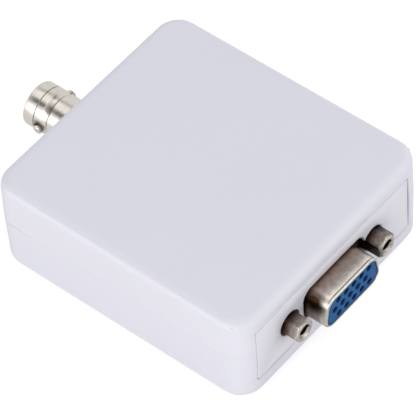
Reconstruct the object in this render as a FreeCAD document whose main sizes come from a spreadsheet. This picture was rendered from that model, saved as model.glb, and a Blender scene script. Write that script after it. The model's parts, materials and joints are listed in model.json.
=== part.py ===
import FreeCAD, Part
import math
import os
import Sketcher

# A small desktop video converter: a moulded box with a 15-hole VGA socket in one end
# and a BNC socket in the other. Origin at the middle of the underside, +Y from the VGA
# end to the BNC end, +X to the right when facing the VGA socket, +Z up.

# Driving sizes: millimetres, degrees and counts
SIZES = {
    # Moulded box
    "case_width": 55.0,
    "case_length": 61.0,
    "case_height": 22.0,
    "case_wall": 1.8,
    "end_wall": 1.5,
    "corner_radius": 5.25,
    "top_edge_radius": 2.1,
    "base_edge_radius": 1.8,
    "draft": 1.0,
    "seam_height": 12.25,
    "seam_gap": 0.14,
    "tongue_height": 1.0,
    "tongue_width": 0.8,
    "moulding_gap": 0.12,
    # Posts, columns and ribs
    "post_inset": 6.0,
    "post_row": 20.0,
    "post_radius": 2.3,
    "post_reach": 2.0,
    "column_radius": 3.4,
    "socket_gap": 0.1,
    "rib_width": 1.2,
    "rib_reach": 3.9,
    "web_width": 1.0,
    # Case screws
    "screw_radius": 1.2,
    "screw_head_radius": 2.2,
    "screw_head_height": 1.6,
    "screw_seat": 8.6,
    "screw_head_round": 0.8,
    "screw_cross_reach": 1.2,
    "screw_cross_width": 0.6,
    "screw_cross_depth": 0.95,
    "screw_end_gap": 0.9,
    "screw_gap": 0.05,
    "recess_gap": 0.25,
    # End panels
    "panel_shift": -0.5,
    "window_margin": 4.65,
    "window_rise": 6.55,
    "window_drop": 7.35,
    "panel_lip": 1.2,
    "panel_lip_width": 1.2,
    "panel_corner": 0.5,
    # Circuit board
    "board_thickness": 1.6,
    "board_headroom": 1.4,
    "board_side_gap": 1.1,
    "board_end_gap": 3.2,
    # VGA socket
    "vga_place": -1.2,
    "vga_rise": 5.45,
    "shell_width": 16.3,
    "shell_height": 7.6,
    "shell_corner": 2.6,
    "shell_slant": 10.0,
    "shell_reach": 4.95,
    "shell_sheet": 0.5,
    "shell_lip_radius": 0.42,
    "flange_width": 30.8,
    "flange_height": 12.5,
    "flange_sheet": 0.6,
    "flange_corner": 1.6,
    "face_recess": 0.12,
    "pin_columns": 5,
    "pin_pitch": 2.29,
    "pin_row_pitch": 1.98,
    "pin_hole_radius": 0.62,
    "pin_mouth_radius": 0.76,
    "pin_mouth_depth": 0.3,
    "insulator_depth": 4.0,
    "insulator_width": 18.4,
    "insulator_height": 9.6,
    "contact_radius": 0.5,
    "contact_recess": 0.7,
    "contact_width": 0.5,
    "contact_hole_radius": 0.42,
    "tail_start": 5.6,
    "tail_pitch": 2.54,
    "tail_reach": 0.9,
    "spacer_thickness": 1.2,
    "spacer_edge": 0.9,
    "opening_gap": 0.25,
    "opening_width": 18.6,
    "opening_shift": 0.8,
    "opening_corner": 2.5,
    # Jackscrews and brackets
    "jackscrew_pitch": 24.99,
    "hex_across_flats": 4.6,
    "hex_reach": 3.5,
    "hex_chamfer": 0.35,
    "hex_bevel_angle": 30.0,
    "left_hex_turn": 0.0,
    "right_hex_turn": 30.0,
    "thread_radius": 1.42,
    "thread_depth": 4.4,
    "thread_mouth": 0.3,
    "stud_length": 5.2,
    "standoff_opening": 2.8,
    "bracket_width": 6.2,
    "bracket_sheet": 0.9,
    "bracket_foot": 7.2,
    "boss_radius": 2.4,
    "boss_length": 3.6,
    "board_lock_radius": 1.2,
    "board_lock_slot": 0.6,
    # BNC socket
    "bnc_place": -0.45,
    "bnc_rise": 5.9,
    "bnc_reach": 11.95,
    "barrel_radius": 4.8,
    "barrel_chamfer": 0.3,
    "barrel_bore": 4.06,
    "bore_depth": 8.6,
    "mark_setback": 2.75,
    "mark_width": 0.24,
    "mark_depth": 0.14,
    "lug_setback": 4.25,
    "lug_radius": 1.0,
    "lug_reach": 0.7,
    "lug_chamfer": 0.18,
    "front_band": 4.3,
    "neck_radius": 4.3,
    "neck_slope": 0.35,
    "neck_width": 1.5,
    "rear_barrel_radius": 4.7,
    "barrel_opening_gap": 0.2,
    "barrel_root_radius": 4.0,
    "barrel_root_depth": 7.0,
    "housing_gap": 0.1,
    "housing_width": 13.4,
    "housing_depth": 8.2,
    "housing_drop": 5.9,
    "dielectric_radius": 2.4,
    "dielectric_recess": 1.2,
    "dielectric_root_radius": 3.2,
    "socket_radius": 1.05,
    "socket_bore": 0.68,
    "socket_recess": 0.3,
    "socket_depth": 8.0,
    "socket_bore_depth": 4.8,
    "socket_slot": 0.3,
    "socket_slot_depth": 4.0,
    "centre_wire_radius": 0.45,
    "centre_wire_reach": 1.8,
    "ground_post_radius": 0.6,
    "ground_post_span": 10.16,
    "ground_post_inset": 3.0,
    # Power inlet
    "inlet_inset": 13.9,
    "inlet_width": 7.7,
    "inlet_height": 4.0,
    "inlet_depth": 9.2,
    "inlet_sheet": 0.35,
    "inlet_recess": 0.5,
    "inlet_step": 1.1,
    "tongue_plate_width": 5.0,
    "tongue_plate_thickness": 0.9,
    "inlet_back": 2.4,
    "inlet_tongue_recess": 0.6,
    "inlet_contacts": 5,
    "inlet_contact_pitch": 0.8,
    "inlet_contact_width": 0.35,
    "inlet_contact_thickness": 0.15,
    # Parts on the board, placed by shares of its half width and half length
    "chip_thickness": 1.4,
    "chip_standoff": 0.1,
    "chip_chamfer": 0.2,
    "lead_width": 0.24,
    "lead_thickness": 0.15,
    "lead_reach": 1.0,
    "lead_knee": 0.3,
    "lead_lean": 0.15,
    "converter_size": 14.0,
    "converter_leads": 16,
    "converter_pitch": 0.8,
    "converter_across": -0.504,
    "converter_along": -0.078,
    "encoder_size": 7.0,
    "encoder_leads": 12,
    "encoder_pitch": 0.5,
    "encoder_across": 0.146,
    "encoder_along": 0.318,
    "memory_width": 7.6,
    "memory_length": 18.4,
    "memory_leads": 20,
    "memory_pitch": 0.8,
    "memory_across": 0.244,
    "memory_along": -0.233,
    "crystal_length": 11.2,
    "crystal_width": 4.6,
    "crystal_height": 3.6,
    "crystal_flange": 0.45,
    "crystal_flat": 0.05,
    "crystal_across": 0.789,
    "crystal_along": -0.209,
    "regulator_length": 6.5,
    "regulator_width": 3.5,
    "regulator_height": 1.6,
    "regulator_tab": 3.0,
    "regulator_tab_reach": 1.7,
    "regulator_lead": 0.75,
    "regulator_pitch": 2.3,
    "regulator_lead_thickness": 0.3,
    "regulator_across": 0.634,
    "regulator_along": 0.271,
    "capacitor_radius": 2.5,
    "capacitor_height": 5.4,
    "capacitor_base": 5.3,
    "capacitor_base_height": 0.9,
    "capacitor_groove": 0.25,
    "capacitor_across": -0.829,
    "capacitor_along": 0.372,
    "capacitor_pitch": 6.6,
    "inductor_size": 6.0,
    "inductor_height": 2.8,
    "inductor_rim": 0.6,
    "inductor_gap": 0.3,
    "inductor_across": -0.228,
    "inductor_along": 0.45,
    "end_cap": 0.3,
    "end_cap_skin": 0.05,
    "resistor_length": 1.6,
    "resistor_width": 0.8,
    "resistor_height": 0.5,
    "resistor_count": 8,
    "resistor_pitch": 2.0,
    "resistor_along": -0.527,
    "resistor_across": -0.691,
    "ceramic_length": 2.0,
    "ceramic_width": 1.25,
    "ceramic_height": 0.9,
    "ceramic_count": 4,
    "ceramic_pitch": 2.6,
    "ceramic_across": 0.878,
    "ceramic_along": 0.132,
}

DOCUMENT = FreeCAD.newDocument("video_converter")
PLANE_ROLES = {"top": "XY_Plane", "front": "XZ_Plane", "side": "YZ_Plane"}
PLANE_NORMALS = {"XY_Plane": "+Z", "XZ_Plane": "-Y", "YZ_Plane": "+X"}
SMALL = 1e-4
NODES = []


class Size:
    """A length that knows its value and the sheet expression behind it."""

    def __init__(self, value, text):
        self.value = value
        self.text = text

    def __add__(self, other):
        other = as_size(other)
        return Size(self.value + other.value, f"({self.text} + {other.text})")

    def __sub__(self, other):
        other = as_size(other)
        return Size(self.value - other.value, f"({self.text} - {other.text})")

    def __mul__(self, other):
        other = as_size(other)
        return Size(self.value * other.value, f"({self.text} * {other.text})")

    def __truediv__(self, other):
        other = as_size(other)
        return Size(self.value / other.value, f"({self.text} / {other.text})")

    def __rsub__(self, other):
        return as_size(other) - self

    def __neg__(self):
        return self * -1

    __radd__ = __add__
    __rmul__ = __mul__


class SheetSizes:
    """The sheet's cells as Size values, read as attributes."""

    def __init__(self, numbers):
        self.sheet = DOCUMENT.addObject("Spreadsheet::Sheet", "Sizes")
        for row, (name, number) in enumerate(numbers.items(), start=1):
            self.sheet.set(f"A{row}", name)
            self.sheet.set(f"B{row}", str(number))
            self.sheet.setAlias(f"B{row}", name)
            setattr(self, name, Size(float(number), f"Sizes.{name}"))
        DOCUMENT.recompute()


def as_size(number):
    if isinstance(number, Size):
        return number
    return Size(float(number), f"({float(number)})")


def tangent(angle):
    return Size(math.tan(math.radians(angle.value)), f"tan({angle.text})")


def cosine(angle):
    return Size(math.cos(math.radians(angle.value)), f"cos({angle.text})")


def sine(angle):
    return Size(math.sin(math.radians(angle.value)), f"sin({angle.text})")


def tie(thing, name, size):
    """Bind one property of an object to the sheet."""
    thing.setExpression(name, as_size(size).text)


def place(thing, x=0, y=0, z=0):
    """Bind an object's placement to the sheet."""
    for axis, size in zip("xyz", (x, y, z)):
        tie(thing, f"Placement.Base.{axis}", size)


def node(thing, label):
    """Keep an object as a sub-part under its own name."""
    thing.Label = label
    NODES.append(thing)
    return thing


# Sketches

def new_body(label, x=0, y=0, z=0):
    body = DOCUMENT.addObject("PartDesign::Body", label)
    body.AllowCompound = True
    place(body, x, y, z)
    return node(body, label)


def new_sketch(body, plane, level=0):
    """Start a sketch on one of the body's own planes, at a height or depth."""
    sketch = body.newObject("Sketcher::SketchObject", "Sketch")
    roles = {feature.Role: feature for feature in body.Origin.OriginFeatures}
    sketch.AttachmentSupport = (roles[PLANE_ROLES[plane]], [""])
    sketch.MapMode = "FlatFace"
    along_normal = -as_size(level) if plane == "front" else as_size(level)
    tie(sketch, "AttachmentOffset.Base.z", along_normal)
    return sketch


def hold(sketch, geometry, end, u, v):
    """Fix one point of a sketch at a tied place."""
    for kind, size in (("DistanceX", as_size(u)), ("DistanceY", as_size(v))):
        rule = Sketcher.Constraint(kind, -1, 1, geometry, end, size.value)
        index = sketch.addConstraint(rule)
        sketch.setExpression(f"Constraints[{index}]", size.text)


def hold_radius(sketch, geometry, radius):
    radius = as_size(radius)
    index = sketch.addConstraint(Sketcher.Constraint("Radius", geometry, radius.value))
    sketch.setExpression(f"Constraints[{index}]", radius.text)


def flat_point(u, v):
    return FreeCAD.Vector(as_size(u).value, as_size(v).value, 0)


def circle(sketch, u, v, radius):
    shape = Part.Circle(flat_point(u, v), FreeCAD.Vector(0, 0, 1), as_size(radius).value)
    geometry = sketch.addGeometry(shape, False)
    hold(sketch, geometry, 3, u, v)
    hold_radius(sketch, geometry, radius)


def polygon(sketch, corners):
    """A closed outline of straight sides through tied corners."""
    sides = []
    for index, corner in enumerate(corners):
        following = corners[(index + 1) % len(corners)]
        line = Part.LineSegment(flat_point(*corner), flat_point(*following))
        sides.append(sketch.addGeometry(line, False))
    for index, corner in enumerate(corners):
        hold(sketch, sides[index], 1, *corner)
        sketch.addConstraint(Sketcher.Constraint("Coincident", sides[index - 1], 2, sides[index], 1))


def corner_arc(before, corner, after, radius):
    """The two tangent points and the arc that round one convex corner."""
    back = (before - corner).normalize()
    ahead = (after - corner).normalize()
    half_angle = back.getAngle(ahead) / 2
    run = radius / math.tan(half_angle)
    centre = corner + (back + ahead).normalize() * (radius / math.sin(half_angle))
    first = corner + back * run
    last = corner + ahead * run
    start = math.atan2(first.y - centre.y, first.x - centre.x)
    end = math.atan2(last.y - centre.y, last.x - centre.x)
    if end < start:
        end += 2 * math.pi
    ring = Part.Circle(centre, FreeCAD.Vector(0, 0, 1), radius)
    return first, last, Part.ArcOfCircle(ring, start, end)


def rounded_outline(sketch, corners, radius):
    """A closed convex outline, drawn anticlockwise, with every corner rounded alike."""
    radius = as_size(radius)
    points = [flat_point(*corner) for corner in corners]
    count = len(points)
    bends = [
        corner_arc(points[index - 1], points[index], points[(index + 1) % count], radius.value)
        for index in range(count)
    ]
    sides = [
        sketch.addGeometry(Part.LineSegment(bends[index][1], bends[(index + 1) % count][0]), False)
        for index in range(count)
    ]
    arcs = [sketch.addGeometry(bend[2], False) for bend in bends]
    for index, corner in enumerate(corners):
        sketch.addConstraint(Sketcher.Constraint("Tangent", sides[index - 1], 2, arcs[index], 1))
        sketch.addConstraint(Sketcher.Constraint("Tangent", arcs[index], 2, sides[index], 1))
        hold_radius(sketch, arcs[index], radius)
        vertex = sketch.addGeometry(Part.Point(points[index]), True)
        sketch.addConstraint(Sketcher.Constraint("PointOnObject", vertex, 1, sides[index - 1]))
        sketch.addConstraint(Sketcher.Constraint("PointOnObject", vertex, 1, sides[index]))
        hold(sketch, vertex, 1, *corner)


def box_corners(u, v, width, height):
    """Corners of a rectangle round a centre, anticlockwise."""
    half_width = as_size(width) / 2
    half_height = as_size(height) / 2
    return [
        (u - half_width, v - half_height),
        (u + half_width, v - half_height),
        (u + half_width, v + half_height),
        (u - half_width, v + half_height),
    ]


def span_corners(left, right, bottom, top):
    """Corners of a rectangle between four sides, anticlockwise."""
    return [(left, bottom), (right, bottom), (right, top), (left, top)]


# Features

def sketch_role(sketch):
    return sketch.AttachmentSupport[0][0].Role


def settle(feature, grows):
    """Recompute, then make sure that the feature added or removed something."""
    DOCUMENT.recompute()
    before = feature.BaseFeature.Shape.Volume if feature.BaseFeature else 0
    change = feature.Shape.Volume - before
    if (change > SMALL) != grows or abs(change) <= SMALL:
        raise ValueError(f"{feature.Name} in {feature.getParentGeoFeatureGroup().Label} did nothing")
    return feature


def pad(sketch, length, towards, draft=None):
    body = sketch.getParentGeoFeatureGroup()
    feature = body.newObject("PartDesign::Pad", "Pad")
    feature.Profile = sketch
    tie(feature, "Length", length)
    feature.Reversed = towards != PLANE_NORMALS[sketch_role(sketch)]
    if draft is not None:
        tie(feature, "TaperAngle", draft)
    return settle(feature, grows=True)


def pocket(sketch, length, towards):
    body = sketch.getParentGeoFeatureGroup()
    feature = body.newObject("PartDesign::Pocket", "Pocket")
    feature.Profile = sketch
    tie(feature, "Length", length)
    feature.Reversed = towards == PLANE_NORMALS[sketch_role(sketch)]
    return settle(feature, grows=False)


def turn(sketch, axis, kind="Revolution"):
    """Revolve or groove a half profile round one of the body's own axes."""
    body = sketch.getParentGeoFeatureGroup()
    feature = body.newObject(f"PartDesign::{kind}", kind)
    feature.Profile = sketch
    roles = {item.Role: item for item in body.Origin.OriginFeatures}
    feature.ReferenceAxis = (roles[f"{axis}_Axis"], [""])
    feature.Angle = 360
    return settle(feature, grows=kind == "Revolution")


def edges_where(shape, wanted):
    return [f"Edge{index}" for index, edge in enumerate(shape.Edges, start=1) if wanted(edge)]


def edge_in_plane(edge, axis, level):
    """True when the whole edge lies at one level along an axis."""
    box = edge.BoundBox
    low = getattr(box, f"{axis}Min")
    high = getattr(box, f"{axis}Max")
    return abs(low - level) < SMALL and abs(high - level) < SMALL


def dress(body, kind, amount, wanted):
    """Fillet or chamfer the edges that pass a test."""
    base = body.Tip
    feature = body.newObject(f"PartDesign::{kind}", kind)
    names = edges_where(base.Shape, wanted)
    if not names:
        raise ValueError(f"No edge for a {kind} on {body.Label}")
    feature.Base = (base, names)
    tie(feature, "Radius" if kind == "Fillet" else "Size", amount)
    DOCUMENT.recompute()
    return feature


def block(name, x, y, z, length, width, height):
    """A plain box from its low corner."""
    solid = DOCUMENT.addObject("Part::Box", name)
    place(solid, x, y, z)
    tie(solid, "Length", length)
    tie(solid, "Width", width)
    tie(solid, "Height", height)
    return solid


def rod(name, x, y, z, radius, length, towards="+Z"):
    """A plain cylinder from the middle of its first end."""
    solid = DOCUMENT.addObject("Part::Cylinder", name)
    turns = {
        "+Z": FreeCAD.Rotation(),
        "-Z": FreeCAD.Rotation(FreeCAD.Vector(1, 0, 0), 180),
        "+Y": FreeCAD.Rotation(FreeCAD.Vector(1, 0, 0), -90),
        "-Y": FreeCAD.Rotation(FreeCAD.Vector(1, 0, 0), 90),
    }
    solid.Placement = FreeCAD.Placement(FreeCAD.Vector(), turns[towards])
    place(solid, x, y, z)
    tie(solid, "Radius", radius)
    tie(solid, "Height", length)
    return solid


def fuse(name, shapes):
    joined = DOCUMENT.addObject("Part::MultiFuse", name)
    joined.Shapes = shapes
    return joined


def group(name, shapes):
    """Several separate solids kept together."""
    gathered = DOCUMENT.addObject("Part::Compound", name)
    gathered.Links = shapes
    return gathered


s = SheetSizes(SIZES)

# Levels and places that several pieces share
END_FACE = s.case_length / 2
INNER_END = END_FACE - s.end_wall
CEILING = s.case_height - s.case_wall
RIM = s.seam_height + s.seam_gap
BOARD_TOP = CEILING - s.board_headroom
BOARD_BASE = BOARD_TOP - s.board_thickness
BOARD_END = END_FACE - s.end_wall - s.board_end_gap
BOARD_SIDE = s.case_width / 2 - s.case_wall - s.board_side_gap
VGA_HEIGHT = BOARD_BASE - s.vga_rise
BNC_HEIGHT = BOARD_BASE - s.bnc_rise
INLET_HEIGHT = BOARD_BASE - s.inlet_height / 2
INLET_FRONT = END_FACE - s.inlet_recess
INLET_PLACE = s.case_width / 2 - s.inlet_inset
WINDOW_TOP = VGA_HEIGHT + s.window_rise
WINDOW_BASE = VGA_HEIGHT - s.window_drop
WINDOW_MIDDLE = (WINDOW_TOP + WINDOW_BASE) / 2
WINDOW_HEIGHT = WINDOW_TOP - WINDOW_BASE
WINDOW_WIDTH = s.case_width - s.window_margin * 2
PANEL_BACK = INNER_END - s.panel_lip
SLOT_BACK = PANEL_BACK - s.moulding_gap
POST_X = s.case_width / 2 - s.post_inset
POST_BASE = BOARD_BASE - s.post_reach
POST_PLACES = [
    (POST_X * across, s.post_row * along)
    for across in (-1, 1)
    for along in (-1, 1)
]
JACKSCREW_OFFSET = s.jackscrew_pitch / 2
LOCK_PLACE = s.bracket_foot / 2


# Moulded box

def case_outline(sketch, inset=0):
    """The box's rounded outline, drawn in by an inset."""
    width = s.case_width - as_size(inset) * 2
    length = s.case_length - as_size(inset) * 2
    rounded_outline(sketch, box_corners(0, 0, width, length), s.corner_radius - inset)


def hollow_outline(sketch):
    """The inside of the box, where the end walls are thinner than the sides."""
    width = s.case_width - s.case_wall * 2
    length = s.case_length - s.end_wall * 2
    rounded_outline(sketch, box_corners(0, 0, width, length), s.corner_radius - s.case_wall)


def cut_windows(body, bottom, top):
    """Cut the end windows that the panels fill, from one height to another."""
    middle = (bottom + top) / 2
    for towards, level in (("+Y", -END_FACE), ("-Y", END_FACE)):
        sketch = new_sketch(body, "front", level)
        polygon(sketch, box_corners(s.panel_shift, middle, WINDOW_WIDTH, top - bottom))
        pocket(sketch, s.end_wall + s.moulding_gap, towards)


def cut_panel_slots(body, level, depth, towards):
    """Cut the slots in the corners that take the lip round each panel."""
    width = WINDOW_WIDTH + (s.panel_lip_width + s.moulding_gap) * 2
    for end in (-1, 1):
        sketch = new_sketch(body, "top", level)
        middle = (INNER_END + SLOT_BACK) / 2 * end
        polygon(sketch, box_corners(s.panel_shift, middle, width, INNER_END - SLOT_BACK))
        pocket(sketch, depth, towards)


def add_panel_ribs(body, level, height, towards):
    """Add the ribs that stop each panel from moving inwards."""
    outer = s.case_width / 2 - s.case_wall / 2
    for end in (-1, 1):
        for side in (-1, 1):
            sketch = new_sketch(body, "top", level)
            middle_x = (outer - s.rib_reach / 2) * side
            middle_y = (SLOT_BACK - s.rib_width / 2) * end
            polygon(sketch, box_corners(middle_x, middle_y, s.rib_reach, s.rib_width))
            pad(sketch, height, towards)


def post_circles(body, level, radius):
    """A sketch of four circles, one on each post axis."""
    sketch = new_sketch(body, "top", level)
    for x, y in POST_PLACES:
        circle(sketch, x, y, radius)
    return sketch


def build_upper_shell():
    body = new_body("upper_shell")
    sketch = new_sketch(body, "top", RIM)
    case_outline(sketch)
    pad(sketch, s.case_height - RIM, "+Z", draft=-s.draft)
    dress(body, "Fillet", s.top_edge_radius,
          lambda edge: edge_in_plane(edge, "Z", s.case_height.value))
    sketch = new_sketch(body, "top", RIM)
    hollow_outline(sketch)
    pocket(sketch, CEILING - RIM, "+Z")
    rebate = new_sketch(body, "top", RIM)
    case_outline(rebate, s.case_wall - s.tongue_width - s.moulding_gap)
    pocket(rebate, s.tongue_height - s.seam_gap, "+Z")
    cut_windows(body, RIM, WINDOW_TOP)
    slot_top = WINDOW_TOP + s.panel_lip_width + s.moulding_gap
    cut_panel_slots(body, RIM, slot_top - RIM, "+Z")
    rib_base = s.seam_height + s.tongue_height
    add_panel_ribs(body, rib_base, CEILING - rib_base + s.case_wall / 2, "+Z")
    for level, radius in ((POST_BASE, s.post_radius), (BOARD_TOP, s.column_radius)):
        sketch = post_circles(body, level, radius)
        pad(sketch, CEILING - level + s.case_wall / 2, "+Z")
    sketch = post_circles(body, POST_BASE, s.screw_radius + s.screw_gap)
    pocket(sketch, CEILING - POST_BASE, "+Z")


def build_lower_shell():
    body = new_body("lower_shell")
    sketch = new_sketch(body, "top", s.seam_height)
    case_outline(sketch)
    pad(sketch, s.seam_height, "-Z", draft=-s.draft)
    dress(body, "Fillet", s.base_edge_radius, lambda edge: edge_in_plane(edge, "Z", 0))
    sketch = new_sketch(body, "top", s.seam_height)
    hollow_outline(sketch)
    pocket(sketch, s.seam_height - s.case_wall, "-Z")
    tongue = new_sketch(body, "top", s.seam_height)
    case_outline(tongue, s.case_wall - s.tongue_width)
    hollow_outline(tongue)
    pad(tongue, s.tongue_height, "+Z")
    tongue_top = s.seam_height + s.tongue_height
    cut_windows(body, WINDOW_BASE, tongue_top)
    slot_base = WINDOW_BASE - s.panel_lip_width - s.moulding_gap
    cut_panel_slots(body, tongue_top, tongue_top - slot_base, "-Z")
    rib_top = s.seam_height
    add_panel_ribs(body, rib_top, rib_top - s.case_wall / 2, "-Z")
    column_base = s.case_wall / 2
    sketch = post_circles(body, column_base, s.column_radius)
    pad(sketch, BOARD_BASE - column_base, "+Z")
    for side in (-1, 1):
        sketch = new_sketch(body, "top", column_base)
        for along in (-1, 1):
            wall_side = (s.case_width / 2 - s.case_wall / 2) * side
            column_side = (POST_X + s.column_radius / 2) * side
            middle = (wall_side + column_side) / 2
            width = (wall_side - column_side) * side
            polygon(sketch, box_corners(middle, s.post_row * along, width, s.web_width))
        pad(sketch, s.seam_height - column_base, "+Z")
    sketch = post_circles(body, BOARD_BASE, s.post_radius + s.socket_gap)
    pocket(sketch, s.post_reach, "-Z")
    sketch = post_circles(body, 0, s.screw_head_radius + s.recess_gap)
    pocket(sketch, s.screw_seat, "+Z")
    sketch = post_circles(body, 0, s.screw_radius + s.recess_gap)
    pocket(sketch, BOARD_BASE, "+Z")


def build_case_screws():
    """Four identical screws driven up from the underside into the posts."""
    body = new_body("case_screws")
    sketch = post_circles(body, s.screw_seat - s.screw_head_height, s.screw_head_radius)
    pad(sketch, s.screw_head_height, "+Z")
    sketch = post_circles(body, s.screw_seat, s.screw_radius)
    pad(sketch, CEILING - s.screw_end_gap - s.screw_seat, "+Z")
    head_base = s.screw_seat - s.screw_head_height
    dress(body, "Fillet", s.screw_head_round,
          lambda edge: edge_in_plane(edge, "Z", head_base.value))
    cross = new_sketch(body, "top", head_base)
    slot_half = s.screw_cross_width / 2
    arm = s.screw_cross_reach
    for x, y in POST_PLACES:
        polygon(cross, [
            (x - slot_half, y - arm), (x + slot_half, y - arm),
            (x + slot_half, y - slot_half), (x + arm, y - slot_half),
            (x + arm, y + slot_half), (x + slot_half, y + slot_half),
            (x + slot_half, y + arm), (x - slot_half, y + arm),
            (x - slot_half, y + slot_half), (x - arm, y + slot_half),
            (x - arm, y - slot_half), (x - slot_half, y - slot_half),
        ])
    pocket(cross, s.screw_cross_depth, "+Z")


# End panels

def build_panel(label, end):
    """A plate whose front fills the window and whose lip sits in the shells' slots."""
    body = new_body(label)
    towards = "+Y" if end > 0 else "-Y"
    inwards = "-Y" if end > 0 else "+Y"
    sketch = new_sketch(body, "front", INNER_END * end)
    width = WINDOW_WIDTH - s.moulding_gap * 2
    height = WINDOW_HEIGHT - s.moulding_gap * 2
    rounded_outline(sketch, box_corners(s.panel_shift, WINDOW_MIDDLE, width, height),
                    s.panel_corner)
    pad(sketch, s.end_wall, towards)
    lip = new_sketch(body, "front", INNER_END * end)
    width = WINDOW_WIDTH + s.panel_lip_width * 2
    height = WINDOW_HEIGHT + s.panel_lip_width * 2
    polygon(lip, box_corners(s.panel_shift, WINDOW_MIDDLE, width, height))
    pad(lip, s.panel_lip, inwards)
    return body


def shell_corners(inset):
    """Corners of the D outline before rounding, wide side down, round its own centre."""
    half_width = s.shell_width / 2 - inset
    half_height = s.shell_height / 2 - inset
    radius = s.shell_corner - inset
    wide_half = half_width - radius + radius * tangent(s.shell_slant / 2 + 45)
    narrow_half = wide_half - half_height * 2 * tangent(s.shell_slant)
    return [
        (-wide_half, -half_height),
        (wide_half, -half_height),
        (narrow_half, half_height),
        (-narrow_half, half_height),
    ]


def shell_outline(sketch, inset):
    """The rounded D outline, drawn in by an inset."""
    rounded_outline(sketch, shell_corners(as_size(inset)), s.shell_corner - inset)


def build_vga_end_panel():
    """The panel's rounded window is wider than the D and opens into the right hole."""
    body = build_panel("vga_end_panel", -1)
    sketch = new_sketch(body, "front", -END_FACE)
    height = s.shell_height + s.opening_gap * 2
    corners = box_corners(s.vga_place + s.opening_shift, VGA_HEIGHT, s.opening_width, height)
    rounded_outline(sketch, corners, s.opening_corner)
    pocket(sketch, s.end_wall, "+Y")
    for side in (-1, 1):
        sketch = new_sketch(body, "front", -END_FACE)
        circle(sketch, s.vga_place + JACKSCREW_OFFSET * side, VGA_HEIGHT, s.standoff_opening)
        pocket(sketch, s.end_wall, "+Y")
    recess = new_sketch(body, "front", -INNER_END)
    rounded_outline(
        recess,
        box_corners(s.vga_place, VGA_HEIGHT, s.flange_width + s.moulding_gap * 2,
                    s.flange_height + s.moulding_gap * 2),
        s.flange_corner)
    pocket(recess, s.panel_lip, "+Y")


def inlet_corners(inset, x=0, z=0):
    """Corners of the inlet's outline: the two lower corners are stepped in."""
    half_width = s.inlet_width / 2 - inset
    half_height = s.inlet_height / 2 - inset
    step = s.inlet_step
    return [
        (x - half_width + step, z - half_height),
        (x + half_width - step, z - half_height),
        (x + half_width, z - half_height + step),
        (x + half_width, z + half_height),
        (x - half_width, z + half_height),
        (x - half_width, z - half_height + step),
    ]


def build_bnc_end_panel():
    body = build_panel("bnc_end_panel", 1)
    sketch = new_sketch(body, "front", END_FACE)
    circle(sketch, s.bnc_place, BNC_HEIGHT, s.rear_barrel_radius + s.barrel_opening_gap)
    polygon(sketch, inlet_corners(-s.opening_gap, INLET_PLACE, INLET_HEIGHT))
    pocket(sketch, s.end_wall + s.panel_lip, "-Y")


# VGA socket. Its own Y = 0 is the front face of its flange.

FLANGE_FACE = -INNER_END
SHELL_FRONT = -(s.end_wall + s.shell_reach)
BLOCK_FRONT = SHELL_FRONT + s.face_recess
BLOCK_BACK = s.flange_sheet * 2 + s.insulator_depth
PIN_COLUMNS = round(s.pin_columns.value)
PIN_PLACES = [
    (s.pin_pitch * (PIN_COLUMNS // 2 - column) + s.pin_pitch / 4 * shift, s.pin_row_pitch * row)
    for row, shift in ((1, 1), (0, -1), (-1, 1))
    for column in range(PIN_COLUMNS)
]


HEX_SIDES = 6


def vga_body(label):
    return new_body(label, s.vga_place, FLANGE_FACE, VGA_HEIGHT)


def flange_outline(sketch):
    """The flange with its two jackscrew holes."""
    rounded_outline(sketch, box_corners(0, 0, s.flange_width, s.flange_height), s.flange_corner)
    for side in (-1, 1):
        circle(sketch, JACKSCREW_OFFSET * side, 0, s.thread_radius + s.opening_gap)


def build_vga_front_shell():
    """A flange with a D-shaped tube drawn out of it and rolled in at the front."""
    body = vga_body("vga_front_shell")
    sketch = new_sketch(body, "front", 0)
    flange_outline(sketch)
    pad(sketch, s.flange_sheet, "+Y")
    sketch = new_sketch(body, "front", 0)
    shell_outline(sketch, 0)
    pad(sketch, -SHELL_FRONT, "-Y")
    dress(body, "Fillet", s.shell_lip_radius,
          lambda edge: edge_in_plane(edge, "Y", SHELL_FRONT.value))
    sketch = new_sketch(body, "front", SHELL_FRONT)
    shell_outline(sketch, s.shell_sheet)
    pocket(sketch, s.flange_sheet - SHELL_FRONT, "+Y")


def build_vga_insulator():
    """The block that fills the shell and carries fifteen contacts."""
    body = vga_body("vga_insulator")
    sketch = new_sketch(body, "front", BLOCK_FRONT)
    shell_outline(sketch, s.shell_sheet)
    pad(sketch, s.flange_sheet - BLOCK_FRONT, "+Y")
    sketch = new_sketch(body, "front", s.flange_sheet)
    polygon(sketch, box_corners(0, 0, s.insulator_width, s.insulator_height))
    pad(sketch, BLOCK_BACK - s.flange_sheet, "+Y")
    for radius, depth in ((s.pin_hole_radius, BLOCK_BACK - BLOCK_FRONT),
                          (s.pin_mouth_radius, s.pin_mouth_depth)):
        sketch = new_sketch(body, "front", BLOCK_FRONT)
        for x, z in PIN_PLACES:
            circle(sketch, x, z, radius)
        pocket(sketch, depth, "+Y")


def build_vga_rear_shell():
    """The plate behind the flange, open round the insulator."""
    body = vga_body("vga_rear_shell")
    sketch = new_sketch(body, "front", s.flange_sheet)
    flange_outline(sketch)
    opening = box_corners(0, 0, s.insulator_width + s.moulding_gap * 2,
                          s.insulator_height + s.moulding_gap * 2)
    polygon(sketch, opening)
    pad(sketch, s.flange_sheet, "+Y")


def tail_place(row):
    """Distance of a row of contact tails behind the flange: the top row bends up first."""
    return s.tail_start + s.tail_pitch * (1 - row) + s.flange_sheet


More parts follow.
